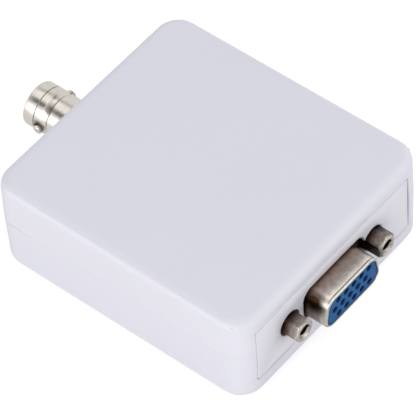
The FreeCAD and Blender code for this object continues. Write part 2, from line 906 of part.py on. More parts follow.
def build_vga_contacts():
    """Fifteen stamped contacts: a round front in the block and a flat tail up to the board."""
    contacts = []
    tail_top = BOARD_TOP - VGA_HEIGHT + s.tail_reach
    half = s.contact_width / 2
    for index, (x, z) in enumerate(PIN_PLACES, start=1):
        row = 1 - (index - 1) // PIN_COLUMNS
        run_start = s.contact_recess
        front = rod(f"contact_front_{index}", s.vga_place + x,
                    FLANGE_FACE + BLOCK_FRONT + run_start, VGA_HEIGHT + z, s.contact_radius,
                    -BLOCK_FRONT, "+Y")
        run = block(f"contact_run_{index}", s.vga_place + x - half, FLANGE_FACE + run_start,
                    VGA_HEIGHT + z - half, s.contact_width, tail_place(row) + half - run_start,
                    s.contact_width)
        tail = block(f"contact_tail_{index}", s.vga_place + x - half,
                     FLANGE_FACE + tail_place(row) - half, VGA_HEIGHT + z + half,
                     s.contact_width, s.contact_width, tail_top - z - half)
        contacts.append(fuse(f"contact_{index}", [front, run, tail]))
    node(group("vga_contact_set", contacts), "vga_contacts")


def tail_corners(grow):
    """A rectangle in plan round all the contact tails."""
    half_width = s.pin_pitch * (PIN_COLUMNS // 2) + s.pin_pitch / 4 + grow
    return span_corners(-half_width, half_width, tail_place(1) - grow, tail_place(-1) + grow)


def build_vga_pin_spacer():
    """A comb under the board that lines up the contact tails."""
    body = vga_body("vga_pin_spacer")
    top = BOARD_BASE - VGA_HEIGHT
    sketch = new_sketch(body, "top", top - s.spacer_thickness)
    polygon(sketch, tail_corners(s.spacer_edge))
    pad(sketch, s.spacer_thickness, "+Z")
    sketch = new_sketch(body, "top", top)
    hole = s.contact_width + s.moulding_gap
    for index, (x, z) in enumerate(PIN_PLACES):
        polygon(sketch, box_corners(x, tail_place(1 - index // PIN_COLUMNS), hole, hole))
    pocket(sketch, s.spacer_thickness, "-Z")


def build_vga_bracket(label, side):
    """A bracket that takes one jackscrew and locks the socket to the board."""
    body = new_body(label, s.vga_place + JACKSCREW_OFFSET * side, FLANGE_FACE, VGA_HEIGHT)
    back = s.flange_sheet * 2
    half_height = s.flange_height / 2
    board = BOARD_BASE - VGA_HEIGHT
    top = board - s.moulding_gap / 2
    sketch = new_sketch(body, "front", back)
    rounded_outline(sketch, box_corners(0, (top - half_height) / 2, s.bracket_width,
                                        top + half_height), s.bracket_sheet)
    pad(sketch, s.bracket_sheet, "+Y")
    sketch = new_sketch(body, "top", board)
    polygon(sketch, span_corners(-s.bracket_width / 2, s.bracket_width / 2, back,
                                 back + s.bracket_foot))
    pad(sketch, s.bracket_sheet, "-Z")
    sketch = new_sketch(body, "front", back)
    circle(sketch, 0, 0, s.boss_radius)
    pad(sketch, s.boss_length + s.bracket_sheet, "+Y")
    sketch = new_sketch(body, "front", back)
    circle(sketch, 0, 0, s.thread_radius + s.screw_gap)
    pocket(sketch, s.boss_length + s.bracket_sheet, "+Y")
    sketch = new_sketch(body, "top", board)
    circle(sketch, 0, back + LOCK_PLACE, s.board_lock_radius)
    pad(sketch, s.board_thickness + s.tail_reach, "+Z")
    sketch = new_sketch(body, "top", board + s.board_thickness + s.tail_reach)
    polygon(sketch, box_corners(0, back + LOCK_PLACE, s.board_lock_slot,
                                (s.board_lock_radius + s.screw_gap) * 2))
    pocket(sketch, s.board_thickness + s.tail_reach, "-Z")


def build_jackscrew(label, side, hex_turn):
    """A hexagonal standoff with a threaded front hole and a stud behind."""
    body = new_body(label, s.vga_place + JACKSCREW_OFFSET * side, FLANGE_FACE, VGA_HEIGHT)
    front = -(s.end_wall + s.hex_reach)
    corner_step = 360 / HEX_SIDES
    reach = s.hex_across_flats / 2 / math.cos(math.radians(corner_step / 2))
    corners = []
    for index in range(HEX_SIDES):
        angle = hex_turn + corner_step * index
        corners.append((reach * cosine(angle), reach * sine(angle)))
    sketch = new_sketch(body, "front", 0)
    polygon(sketch, corners)
    pad(sketch, -front, "-Y")
    bevel = new_sketch(body, "side", 0)
    rim = s.hex_across_flats / 2 - s.hex_chamfer / 2
    outside = reach + s.hex_chamfer
    polygon(bevel, [
        (front, rim),
        (front + (outside - rim) * tangent(s.hex_bevel_angle), outside),
        (front, outside),
    ])
    turn(bevel, "Y", kind="Groove")
    sketch = new_sketch(body, "front", 0)
    circle(sketch, 0, 0, s.thread_radius)
    pad(sketch, s.stud_length, "+Y")
    sketch = new_sketch(body, "front", front)
    circle(sketch, 0, 0, s.thread_radius)
    pocket(sketch, s.thread_depth, "+Y")
    dress(body, "Chamfer", s.thread_mouth,
          lambda edge: edge_in_plane(edge, "Y", front.value) and is_circle(edge, s.thread_radius))


def is_circle(edge, radius):
    curve = edge.Curve
    return curve.TypeId == "Part::GeomCircle" and abs(curve.Radius - radius.value) < SMALL


# BNC socket. Its own Y = 0 is the inner face of its end panel.

BARREL_BASE = PANEL_BACK
BARREL_FRONT = s.bnc_reach + s.end_wall + s.panel_lip
BORE_BASE = BARREL_FRONT - s.bore_depth
ROOT_END = -s.barrel_root_depth
LUG_END = s.barrel_radius + s.lug_reach
HOUSING_FRONT = -s.housing_gap


def bnc_body(label):
    return new_body(label, s.bnc_place, BARREL_BASE, BNC_HEIGHT)


def build_bnc_barrel():
    """The turned barrel: front band, marking groove, neck, lugs and a root in the housing."""
    body = bnc_body("bnc_barrel")
    band_end = BARREL_FRONT - s.front_band
    neck_end = band_end - s.neck_width
    mark = BARREL_FRONT - s.mark_setback
    profile = new_sketch(body, "side", 0)
    polygon(profile, [
        (ROOT_END, 0),
        (BARREL_FRONT, 0),
        (BARREL_FRONT, s.barrel_radius - s.barrel_chamfer),
        (BARREL_FRONT - s.barrel_chamfer, s.barrel_radius),
        (mark + s.mark_width / 2, s.barrel_radius),
        (mark, s.barrel_radius - s.mark_depth),
        (mark - s.mark_width / 2, s.barrel_radius),
        (band_end, s.barrel_radius),
        (band_end - s.neck_slope, s.neck_radius),
        (neck_end, s.neck_radius),
        (neck_end, s.rear_barrel_radius),
        (HOUSING_FRONT, s.rear_barrel_radius),
        (HOUSING_FRONT, s.barrel_root_radius),
        (ROOT_END, s.barrel_root_radius),
    ])
    turn(profile, "Y")
    lugs = new_sketch(body, "side", -LUG_END)
    circle(lugs, BARREL_FRONT - s.lug_setback, 0, s.lug_radius)
    pad(lugs, LUG_END * 2, "+X")
    dress(body, "Chamfer", s.lug_chamfer,
          lambda edge: edge_in_plane(edge, "X", -LUG_END.value) or
          edge_in_plane(edge, "X", LUG_END.value))
    bore = new_sketch(body, "side", 0)
    polygon(bore, [
        (ROOT_END, 0),
        (BARREL_FRONT, 0),
        (BARREL_FRONT, s.barrel_bore + s.barrel_chamfer),
        (BARREL_FRONT - s.barrel_chamfer, s.barrel_bore),
        (BORE_BASE, s.barrel_bore),
        (BORE_BASE, s.dielectric_root_radius),
        (ROOT_END, s.dielectric_root_radius),
    ])
    turn(bore, "Y", kind="Groove")


def build_bnc_dielectric():
    """The insulating core that holds the centre contact."""
    body = bnc_body("bnc_dielectric")
    front = BARREL_FRONT - s.dielectric_recess
    step = front - s.socket_recess - s.socket_depth
    profile = new_sketch(body, "side", 0)
    polygon(profile, [
        (ROOT_END, s.centre_wire_radius),
        (step, s.centre_wire_radius),
        (step, s.socket_radius),
        (front, s.socket_radius),
        (front, s.dielectric_radius),
        (BORE_BASE, s.dielectric_radius),
        (BORE_BASE, s.dielectric_root_radius),
        (ROOT_END, s.dielectric_root_radius),
    ])
    turn(profile, "Y")


def build_bnc_centre_contact():
    """A slotted socket on a wire that turns up through the board."""
    body = bnc_body("bnc_centre_contact")
    front = BARREL_FRONT - s.dielectric_recess - s.socket_recess
    step = front - s.socket_depth
    wire_end = -s.housing_depth - s.centre_wire_reach
    bore_end = front - s.socket_bore_depth
    profile = new_sketch(body, "side", 0)
    polygon(profile, [
        (wire_end, 0),
        (bore_end, 0),
        (bore_end, s.socket_bore),
        (front, s.socket_bore),
        (front, s.socket_radius),
        (step, s.socket_radius),
        (step, s.centre_wire_radius),
        (wire_end, s.centre_wire_radius),
    ])
    turn(profile, "Y")
    sketch = new_sketch(body, "top", 0)
    circle(sketch, 0, wire_end, s.centre_wire_radius)
    pad(sketch, BOARD_TOP - BNC_HEIGHT + s.tail_reach, "+Z")
    slot = new_sketch(body, "front", front)
    polygon(slot, box_corners(0, 0, s.socket_slot, (s.socket_radius + s.screw_gap) * 2))
    pocket(slot, s.socket_slot_depth, "-Y")


def build_bnc_housing():
    """The moulded block that holds the barrel under the board."""
    body = bnc_body("bnc_housing")
    top = BOARD_BASE - BNC_HEIGHT
    sketch = new_sketch(body, "front", HOUSING_FRONT)
    polygon(sketch, span_corners(-s.housing_width / 2, s.housing_width / 2,
                                 -s.housing_drop, top))
    pad(sketch, s.housing_depth - s.housing_gap, "-Y")
    sketch = new_sketch(body, "front", HOUSING_FRONT)
    circle(sketch, 0, 0, s.barrel_root_radius)
    pocket(sketch, s.barrel_root_depth - s.housing_gap, "-Y")
    sketch = new_sketch(body, "front", HOUSING_FRONT)
    circle(sketch, 0, 0, s.centre_wire_radius + s.opening_gap)
    pocket(sketch, s.housing_depth, "-Y")
    sketch = new_sketch(body, "top", top)
    for side in (-1, 1):
        circle(sketch, s.ground_post_span / 2 * side, -s.ground_post_inset, s.ground_post_radius)
    pocket(sketch, top, "-Z")


def build_bnc_ground_posts():
    """Two posts that tie the barrel to the board."""
    body = bnc_body("bnc_ground_posts")
    sketch = new_sketch(body, "top", 0)
    for side in (-1, 1):
        circle(sketch, s.ground_post_span / 2 * side, -s.ground_post_inset, s.ground_post_radius)
    pad(sketch, BOARD_TOP - BNC_HEIGHT + s.tail_reach, "+Z")


# Power inlet. Its own Y = 0 is its front edge.


def inlet_body(label):
    return new_body(label, INLET_PLACE, INLET_FRONT, INLET_HEIGHT)


def build_power_socket_shell():
    """A folded sheet tube round the power socket."""
    body = inlet_body("power_socket_shell")
    sketch = new_sketch(body, "front", 0)
    polygon(sketch, inlet_corners(as_size(0)))
    pad(sketch, s.inlet_depth, "-Y")
    sketch = new_sketch(body, "front", 0)
    polygon(sketch, inlet_corners(s.inlet_sheet))
    pocket(sketch, s.inlet_depth, "-Y")


def build_power_socket_insulator():
    """The moulded back of the power socket with its tongue."""
    body = inlet_body("power_socket_insulator")
    back = -s.inlet_depth
    sketch = new_sketch(body, "front", back)
    polygon(sketch, inlet_corners(s.inlet_sheet))
    pad(sketch, s.inlet_back, "+Y")
    sketch = new_sketch(body, "front", back + s.inlet_back)
    polygon(sketch, box_corners(0, 0, s.tongue_plate_width, s.tongue_plate_thickness))
    pad(sketch, s.inlet_depth - s.inlet_back - s.inlet_tongue_recess, "+Y")


def build_power_socket_contacts():
    """Five flat contacts under the tongue with tails behind the socket."""
    contacts = []
    reach = s.inlet_depth - s.inlet_back - s.inlet_tongue_recess * 2
    strip_top = INLET_HEIGHT - s.tongue_plate_thickness / 2
    count = round(s.inlet_contacts.value)
    for index in range(count):
        place_in_row = s.inlet_contact_pitch * (index - count // 2)
        x = INLET_PLACE + place_in_row - s.inlet_contact_width / 2
        strip = block(f"inlet_strip_{index + 1}", x, INLET_FRONT - s.inlet_tongue_recess * 2 - reach,
                      strip_top - s.inlet_contact_thickness, s.inlet_contact_width, reach,
                      s.inlet_contact_thickness)
        contacts.append(strip)
    node(group("inlet_contact_set", contacts), "power_socket_contacts")


# Circuit board and the parts under it

def build_circuit_board():
    body = new_body("circuit_board")
    sketch = new_sketch(body, "top", BOARD_BASE)
    polygon(sketch, span_corners(-BOARD_SIDE, BOARD_SIDE, -BOARD_END, BOARD_END))
    pad(sketch, s.board_thickness, "+Z")
    sketch = post_circles(body, BOARD_TOP, s.post_radius + s.socket_gap * 2)
    for index, (x, z) in enumerate(PIN_PLACES):
        circle(sketch, s.vga_place + x, FLANGE_FACE + tail_place(1 - index // PIN_COLUMNS),
               s.contact_hole_radius)
    for side in (-1, 1):
        circle(sketch, s.vga_place + JACKSCREW_OFFSET * side,
               FLANGE_FACE + s.flange_sheet * 2 + LOCK_PLACE, s.board_lock_radius + s.screw_gap)
        circle(sketch, s.bnc_place + s.ground_post_span / 2 * side,
               BARREL_BASE - s.ground_post_inset, s.ground_post_radius + s.screw_gap)
    circle(sketch, s.bnc_place, BARREL_BASE - s.housing_depth - s.centre_wire_reach,
           s.centre_wire_radius + s.screw_gap)
    pocket(sketch, s.board_thickness, "-Z")


def add_leads(body, half_width, leads, pitch, sides):
    """Bent leads from the middle of a chip's side up to the board, on two or four sides."""
    top = BOARD_BASE
    middle = top - s.chip_standoff - s.chip_thickness / 2
    half = s.lead_thickness / 2
    knee = half_width + s.lead_knee
    row = pitch * (leads - 1)
    sketch = new_sketch(body, "front", -(row + s.lead_width) / 2)
    polygon(sketch, [
        (half_width - half, middle - half),
        (knee + s.lead_thickness, middle - half),
        (knee + s.lead_thickness + s.lead_lean, top - s.lead_thickness),
        (half_width + s.lead_reach, top - s.lead_thickness),
        (half_width + s.lead_reach, top),
        (knee + s.lead_lean, top),
        (knee, middle + half),
        (half_width - half, middle + half),
    ])
    lead = pad(sketch, s.lead_width, "+Y")
    roles = {item.Role: item for item in body.Origin.OriginFeatures}
    pattern = body.newObject("PartDesign::MultiTransform", "Leads")
    pattern.Originals = [lead]
    line = body.newObject("PartDesign::LinearPattern", "Row")
    line.Direction = (roles["Y_Axis"], [""])
    tie(line, "Length", row)
    line.Occurrences = round(leads.value)
    circuit = body.newObject("PartDesign::PolarPattern", "Sides")
    circuit.Axis = (roles["Z_Axis"], [""])
    circuit.Angle = 360
    circuit.Occurrences = sides
    pattern.Transformations = [line, circuit]
    body.Tip = pattern
    DOCUMENT.recompute()


def build_chip(label, across, along, width, length, leads, pitch, sides):
    """A moulded chip hung under the board."""
    body = new_body(label, BOARD_SIDE * across, BOARD_END * along, 0)
    bottom = BOARD_BASE - s.chip_standoff - s.chip_thickness
    sketch = new_sketch(body, "top", bottom)
    polygon(sketch, box_corners(0, 0, width, length))
    pad(sketch, s.chip_thickness, "+Z")
    dress(body, "Chamfer", s.chip_chamfer,
          lambda edge: edge_in_plane(edge, "Z", bottom.value))
    add_leads(body, width / 2, leads, pitch, sides)


def build_crystal():
    """A drawn metal can with a flange at the board."""
    body = new_body("crystal", BOARD_SIDE * s.crystal_across, BOARD_END * s.crystal_along, 0)
    inset = s.crystal_flange / 2
    for shrink, height in ((as_size(0), s.crystal_flange), (inset, s.crystal_height)):
        sketch = new_sketch(body, "top", BOARD_BASE)
        width = s.crystal_width - shrink * 2
        length = s.crystal_length - shrink * 2
        rounded_outline(sketch, box_corners(0, 0, width, length), width / 2 - s.crystal_flat)
        pad(sketch, height, "-Z")
    bottom = BOARD_BASE - s.crystal_height
    dress(body, "Fillet", inset, lambda edge: edge_in_plane(edge, "Z", bottom.value))


def build_voltage_regulator():
    """A moulded regulator with a wide tab on one side and three leads on the other."""
    body = new_body("voltage_regulator", BOARD_SIDE * s.regulator_across, BOARD_END * s.regulator_along, 0)
    sketch = new_sketch(body, "top", BOARD_BASE)
    polygon(sketch, box_corners(0, 0, s.regulator_length, s.regulator_width))
    pad(sketch, s.regulator_height, "-Z")
    bottom = BOARD_BASE - s.regulator_height
    dress(body, "Chamfer", s.chip_chamfer,
          lambda edge: edge_in_plane(edge, "Z", bottom.value))
    sketch = new_sketch(body, "top", BOARD_BASE)
    reach = s.regulator_tab_reach
    middle = (s.regulator_width + reach) / 2
    polygon(sketch, box_corners(0, middle, s.regulator_tab, reach))
    for step in (-1, 0, 1):
        polygon(sketch, box_corners(s.regulator_pitch * step, -middle, s.regulator_lead, reach))
    pad(sketch, s.regulator_lead_thickness, "-Z")


def build_capacitor(label, step):
    """An electrolytic can on a square moulded foot."""
    x = BOARD_SIDE * s.capacitor_across + s.capacitor_pitch * step
    body = new_body(label, x, BOARD_END * s.capacitor_along, 0)
    foot_level = BOARD_BASE - s.capacitor_base_height
    sketch = new_sketch(body, "top", BOARD_BASE)
    rounded_outline(sketch, box_corners(0, 0, s.capacitor_base, s.capacitor_base),
                    s.capacitor_groove)
    pad(sketch, s.capacitor_base_height, "-Z")
    end_level = BOARD_BASE - s.capacitor_height
    groove_level = foot_level - s.capacitor_groove * 2
    profile = new_sketch(body, "front", 0)
    polygon(profile, [
        (0, foot_level),
        (0, end_level),
        (s.capacitor_radius - s.capacitor_groove, end_level),
        (s.capacitor_radius, end_level + s.capacitor_groove),
        (s.capacitor_radius, groove_level - s.capacitor_groove),
        (s.capacitor_radius - s.capacitor_groove, groove_level),
        (s.capacitor_radius - s.capacitor_groove, foot_level),
    ])
    turn(profile, "Z")


def build_inductor():
    """A shielded choke: a square block with a round core showing in its face."""
    body = new_body("inductor", BOARD_SIDE * s.inductor_across, BOARD_END * s.inductor_along, 0)
    sketch = new_sketch(body, "top", BOARD_BASE)
    rounded_outline(sketch, box_corners(0, 0, s.inductor_size, s.inductor_size),
                    s.inductor_rim)
    pad(sketch, s.inductor_height, "-Z")
    bottom = BOARD_BASE - s.inductor_height
    sketch = new_sketch(body, "top", bottom)
    circle(sketch, 0, 0, s.inductor_size / 2 - s.inductor_rim)
    circle(sketch, 0, 0, s.inductor_size / 2 - s.inductor_rim - s.inductor_gap)
    pocket(sketch, s.inductor_rim / 2, "+Z")


def chip_part(name, x, y, length, width, height):
    """One surface-mounted part: a body between two slightly larger metal ends."""
    cap = s.end_cap
    skin = s.end_cap_skin
    core = block(f"{name}_core", x - length / 2 + cap, y - width / 2 + skin,
                 BOARD_BASE - height + skin, length - cap * 2, width - skin * 2,
                 height - skin)
    ends = [
        block(f"{name}_end_{side}", x + (length / 2 - cap) * sign - cap * (1 - sign) / 2,
              y - width / 2, BOARD_BASE - height, cap, width, height)
        for side, sign in (("left", -1), ("right", 1))
    ]
    return fuse(name, [core] + ends)


def build_chip_parts():
    """The rows of small resistors and ceramic capacitors."""
    row_start = BOARD_SIDE * s.resistor_across
    row_y = BOARD_END * s.resistor_along
    resistors = [
        chip_part(f"resistor_{step}", row_start + s.resistor_pitch * step, row_y,
                  s.resistor_length, s.resistor_width, s.resistor_height)
        for step in range(round(s.resistor_count.value))
    ]
    node(group("resistor_row", resistors), "chip_resistors")
    column_x = BOARD_SIDE * s.ceramic_across
    column_start = BOARD_END * s.ceramic_along
    ceramics = [
        chip_part(f"ceramic_{step}", column_x, column_start + s.ceramic_pitch * step,
                  s.ceramic_length, s.ceramic_width, s.ceramic_height)
        for step in range(round(s.ceramic_count.value))
    ]
    node(group("ceramic_row", ceramics), "chip_capacitors")


def check_document():
    """Stop if any object failed or any sub-part is not a sound solid."""
    DOCUMENT.recompute()
    for thing in DOCUMENT.Objects:
        if {"Invalid", "Error"} & set(thing.State):
            raise ValueError(f"{thing.Name} failed to recompute")
    for piece in NODES:
        shape = piece.Shape
        if shape.isNull() or not shape.isValid() or not shape.Solids:
            raise ValueError(f"{piece.Label} is not a sound solid")


def write_parts():
    os.makedirs("parts", exist_ok=True)
    for piece in NODES:
        piece.Shape.exportStep(os.path.join("parts", f"{piece.Label}.step"))
        print(piece.Label, len(piece.Shape.Solids), round(piece.Shape.Volume, 3))


build_upper_shell()
build_lower_shell()
build_case_screws()
build_vga_end_panel()
build_bnc_end_panel()
build_vga_front_shell()
build_vga_insulator()
build_vga_rear_shell()
build_vga_contacts()
build_vga_pin_spacer()
build_vga_bracket("vga_bracket_left", -1)
build_vga_bracket("vga_bracket_right", 1)
build_jackscrew("jackscrew_left", -1, s.left_hex_turn)
build_jackscrew("jackscrew_right", 1, s.right_hex_turn)
build_bnc_barrel()
build_bnc_dielectric()
build_bnc_centre_contact()
build_bnc_housing()
build_bnc_ground_posts()
build_power_socket_shell()
build_power_socket_insulator()
build_power_socket_contacts()
build_circuit_board()
build_chip("converter_chip", s.converter_across, s.converter_along, s.converter_size,
           s.converter_size, s.converter_leads, s.converter_pitch, 4)
build_chip("encoder_chip", s.encoder_across, s.encoder_along, s.encoder_size,
           s.encoder_size, s.encoder_leads, s.encoder_pitch, 4)
build_chip("memory_chip", s.memory_across, s.memory_along, s.memory_width,
           s.memory_length, s.memory_leads, s.memory_pitch, 2)
build_crystal()
build_voltage_regulator()
build_capacitor("input_capacitor", 0)
build_capacitor("output_capacitor", 1)
build_inductor()
build_chip_parts()
check_document()
write_parts()
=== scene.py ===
# %% [markdown]
# # A small VGA to BNC converter
# The real thing is a moulded box as small as a matchbox. One end has a blue VGA socket
# between two hexagonal standoffs, the other end has a turned BNC barrel. The exact solids
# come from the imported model, and this lesson gives them finishes, light and the fine
# shapes that a press, a lathe and a mould leave behind.

import json
import math

import bmesh
import bpy
from mathutils import Matrix, Vector


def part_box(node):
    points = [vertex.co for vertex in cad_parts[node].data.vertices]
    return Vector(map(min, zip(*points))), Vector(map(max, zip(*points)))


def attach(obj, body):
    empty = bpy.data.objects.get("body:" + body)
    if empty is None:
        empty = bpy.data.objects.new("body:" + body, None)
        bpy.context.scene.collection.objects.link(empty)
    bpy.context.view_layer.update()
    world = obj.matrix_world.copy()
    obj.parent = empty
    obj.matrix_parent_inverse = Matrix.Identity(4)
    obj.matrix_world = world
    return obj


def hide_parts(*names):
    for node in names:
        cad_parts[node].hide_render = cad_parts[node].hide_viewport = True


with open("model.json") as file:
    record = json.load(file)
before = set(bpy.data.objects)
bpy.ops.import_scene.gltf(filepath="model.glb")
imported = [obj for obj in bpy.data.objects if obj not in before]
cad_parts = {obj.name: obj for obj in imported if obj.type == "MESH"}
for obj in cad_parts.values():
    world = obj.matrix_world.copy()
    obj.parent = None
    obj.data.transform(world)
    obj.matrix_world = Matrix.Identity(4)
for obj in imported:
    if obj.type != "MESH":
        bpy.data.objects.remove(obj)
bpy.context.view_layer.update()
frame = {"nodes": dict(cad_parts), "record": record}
NODES = frame["nodes"]
BODY = "root"
MM = 0.001
print("CAD nodes:", len(NODES))

# %% [markdown]
# ## Small helpers
# An operator in Blender acts on everything that is selected, and loading leaves the solids
# selected. So every step starts from a clean selection, and edit mode picks its vertices,
# edges and faces by where they are. These few functions keep that short.


# %% Selection helpers
def metres(millimetres):
    """A place or a size in millimetres as Blender's metres."""
    return tuple(value * MM for value in millimetres)


def only(thing):
    """Select one object alone and make it the active one."""
    bpy.ops.object.select_all(action="DESELECT")
    thing.select_set(True)
    bpy.context.view_layer.objects.active = thing


def pick(kind, wanted=lambda item: True):
    """In edit mode, select the vertices, edges or faces that pass a test, or all of them."""
    bpy.ops.object.mode_set(mode="EDIT")
    bpy.ops.mesh.select_mode(type={"verts": "VERT", "edges": "EDGE", "faces": "FACE"}[kind])
    bpy.ops.mesh.select_all(action="DESELECT")
    mesh = bmesh.from_edit_mesh(bpy.context.object.data)
    chosen = [item for item in getattr(mesh, kind) if wanted(item)]
    for item in chosen:
        item.select_set(True)
    mesh.select_flush_mode()
    bmesh.update_edit_mesh(bpy.context.object.data)
    return len(chosen)


def edit_all():
    """Open the active object in edit mode with everything selected."""
    bpy.ops.object.mode_set(mode="EDIT")
    bpy.ops.mesh.select_all(action="SELECT")


def settle(name):
    """Name the active object and put its place into its mesh."""
    thing = bpy.context.object
    bpy.ops.object.transform_apply(location=True, rotation=True, scale=True)
    thing.name = name
    thing.data.name = name
    return thing


def primitive(kind, middle, **values):
    """Add one of Blender's starting shapes, with its middle in millimetres."""
    bpy.ops.object.select_all(action="DESELECT")
    add = getattr(bpy.ops.mesh, f"primitive_{kind}_add")
    add(location=metres(middle), **values)


def twin_of(thing, name):
    """A copy of an object with a mesh of its own, selected alone."""
    twin = bpy.data.objects.new(name, thing.data.copy())
    bpy.context.scene.collection.objects.link(twin)
    only(twin)
    return twin


def apply_modifier(thing, kind, **values):
    """Add a modifier, set it and apply it."""
    only(thing)
    modifier = thing.modifiers.new(kind.title(), kind)
    for key, value in values.items():
        setattr(modifier, key, value)
    bpy.ops.object.modifier_apply(modifier=modifier.name)


# %% [markdown]
# ### A short way to build node trees
# A material is a tree of nodes joined by links. Written out, every node and every link
# takes a line of its own. This small class adds a node, fills its sockets and joins it in
# one line, for materials, for the world and for node groups alike.

# %% Node helper
class Nodes:
    """Adds nodes to one tree; a socket takes a plain value or another node's output."""

    def __init__(self, tree):
        self.tree = tree

    def add(self, kind, inputs=None, **settings):
        node = self.tree.nodes.new(kind)
        for key, value in settings.items():
            setattr(node, key, value)
        return self.fill(node, inputs or {})

    def fill(self, node, inputs):
        for key, value in inputs.items():
            self.feed(node.inputs[key], value)
        return node

    def feed(self, socket, value):
        if isinstance(value, bpy.types.NodeSocket):
            self.tree.links.new(value, socket)
        else:
            socket.default_value = value

    def math(self, operation, a, b=0.0, clamp=False):
        node = self.add("ShaderNodeMath", {0: a, 1: b}, operation=operation, use_clamp=clamp)
        return node.outputs[0]

    def mix(self, factor, a, b, blend="MIX"):
        node = self.add("ShaderNodeMix", data_type="RGBA", blend_type=blend)
        self.fill(node, {"Factor": factor, 6: a, 7: b})
        return node.outputs[2]

    def remap(self, value, low, high, to_low=0.0, to_high=1.0):
        node = self.add("ShaderNodeMapRange", {
            "Value": value, "From Min": low, "From Max": high,
            "To Min": to_low, "To Max": to_high})
        return node.outputs["Result"]

    def ramp(self, factor, stops):
        """A colour ramp; each stop is a position and a colour."""
        node = self.add("ShaderNodeValToRGB", {"Fac": factor})
        elements = node.color_ramp.elements
        elements.remove(elements[1])
        for index, (position, colour) in enumerate(stops):
            element = elements.new(position) if index else elements[0]
            element.position = position
            element.color = (*colour, 1)
        return node.outputs["Color"]

    def vector(self, operation, a, b=(0, 0, 0)):
        """Vector maths; the caller takes the output it needs."""
        return self.add("ShaderNodeVectorMath", {0: a, 1: b}, operation=operation).outputs

    def along(self, vector, axis):
        return self.add("ShaderNodeSeparateXYZ", {0: vector}).outputs[axis]

    def squeeze(self, vector, scale):
        """The same spot in stretched coordinates, for streaks."""
        return self.add("ShaderNodeMapping", {"Vector": vector, "Scale": scale}).outputs[0]

    def place(self):
        """The spot on the object, in the object's own coordinates."""
        return self.add("ShaderNodeTexCoord").outputs["Object"]

    def noise(self, vector, scale, detail=2.0):
        node = self.add("ShaderNodeTexNoise", {
            "Vector": vector, "Scale": scale, "Detail": detail})
        return node.outputs["Fac"]

    def swing(self, vector, scale, detail, span):
        """Noise that swings about zero, over a span."""
        middle = self.math("SUBTRACT", self.noise(vector, scale, detail), 0.5)
        return self.math("MULTIPLY", middle, span)


def new_material(name):
    """A new material, its node helper and its surface shader."""
    material = bpy.data.materials.new(name)
    material.use_nodes = True
    return material, Nodes(material.node_tree), material.node_tree.nodes["Principled BSDF"]


# %% [markdown]
# ## The camera
# The photograph looks down on the box from the VGA end and the left, at about fifty
# degrees. The long lens keeps the edges nearly parallel, as in a catalogue picture.

# %% Camera
CAMERA_TURN = -47.199
CAMERA_RISE = 50.605
CAMERA_ROLL = -4.731
CAMERA_TARGET = Vector((-0.554, -0.171, 10.0)) * MM
CAMERA_DISTANCE = 666.703 * MM
PHOTO_WIDTH = 416
FOCAL_PIXELS = 3512.926
SENSOR_WIDTH = 36.0


def camera_axes():
    """Right, up and backward directions of the camera in the part's frame."""
    turn, rise, roll = (math.radians(a) for a in (CAMERA_TURN, CAMERA_RISE, CAMERA_ROLL))
    back = Vector((math.sin(turn) * math.cos(rise), -math.cos(turn) * math.cos(rise),
                   math.sin(rise)))
    right = Vector((math.cos(turn), math.sin(turn), 0))
    up = back.cross(right)
    rolled_right = right * math.cos(roll) + up * math.sin(roll)
    rolled_up = up * math.cos(roll) - right * math.sin(roll)
    return rolled_right, rolled_up, back


right, up, back = camera_axes()
camera_data = bpy.data.cameras.new("camera")
camera_data.sensor_width = SENSOR_WIDTH
camera_data.lens = FOCAL_PIXELS / PHOTO_WIDTH * SENSOR_WIDTH
camera_data.clip_start = 0.01
camera = bpy.data.objects.new("camera", camera_data)
bpy.context.scene.collection.objects.link(camera)
rotation = Matrix((right, up, back)).transposed().to_4x4()
camera.matrix_world = Matrix.Translation(CAMERA_TARGET + back * CAMERA_DISTANCE) @ rotation
bpy.context.scene.camera = camera
bpy.context.scene.view_settings.view_transform = "Standard"
print("lens", round(camera_data.lens, 1), "mm")

# %% [markdown]
# ## Floor and light
# Product pictures on white use a bright floor and large soft lamps. The floor here is
# pale and takes the soft shadow. A little glow, which only the camera sees, and clear
# things would pass on, lifts its lit part to white without more light on the box.

# %% Floor
FLOOR_SIZE = 6.0
FLOOR_GLOW = 0.4


def build_floor_material():
    """Matt and pale, with a glow for camera and transmission rays."""
    material, nodes, surface = new_material("studio_floor")
    rays = nodes.add("ShaderNodeLightPath").outputs
    seen = nodes.math("MAXIMUM", rays["Is Camera Ray"], rays["Is Transmission Ray"])
    nodes.fill(surface, {
        "Base Color": (0.86, 0.86, 0.87, 1), "Roughness": 0.9, "Emission Color": (1, 1, 1, 1),
        "Emission Strength": nodes.math("MULTIPLY", seen, FLOOR_GLOW)})
    return material


primitive("plane", (0, 0, 0), size=FLOOR_SIZE)
floor = settle("studio_floor")
floor.data.materials.append(build_floor_material())
print("floor", FLOOR_SIZE, "m wide")

# %% [markdown]
# ### The room
# The world is the white room round the table. The camera sees it at full white, metal
# mirrors it a little darker, and as light it is softer still, so the lamps can shape the
# box.

# %% World
ROOM_LIGHT = 0.63
ROOM_IN_METAL = 0.85
ROOM_SEEN = 1.0


def build_world():
    world = bpy.data.worlds.new("studio")
    world.use_nodes = True
    bpy.context.scene.world = world
    nodes = Nodes(world.node_tree)
    rays = nodes.add("ShaderNodeLightPath").outputs
    level = nodes.remap(rays["Is Glossy Ray"], 0.0, 1.0, ROOM_LIGHT, ROOM_IN_METAL)
    level = nodes.remap(rays["Is Camera Ray"], 0.0, 1.0, level, ROOM_SEEN)
    nodes.fill(world.node_tree.nodes["Background"], {"Color": (1, 1, 1, 1), "Strength": level})


build_world()
print("room light", ROOM_LIGHT, "in metal", ROOM_IN_METAL, "seen", ROOM_SEEN)

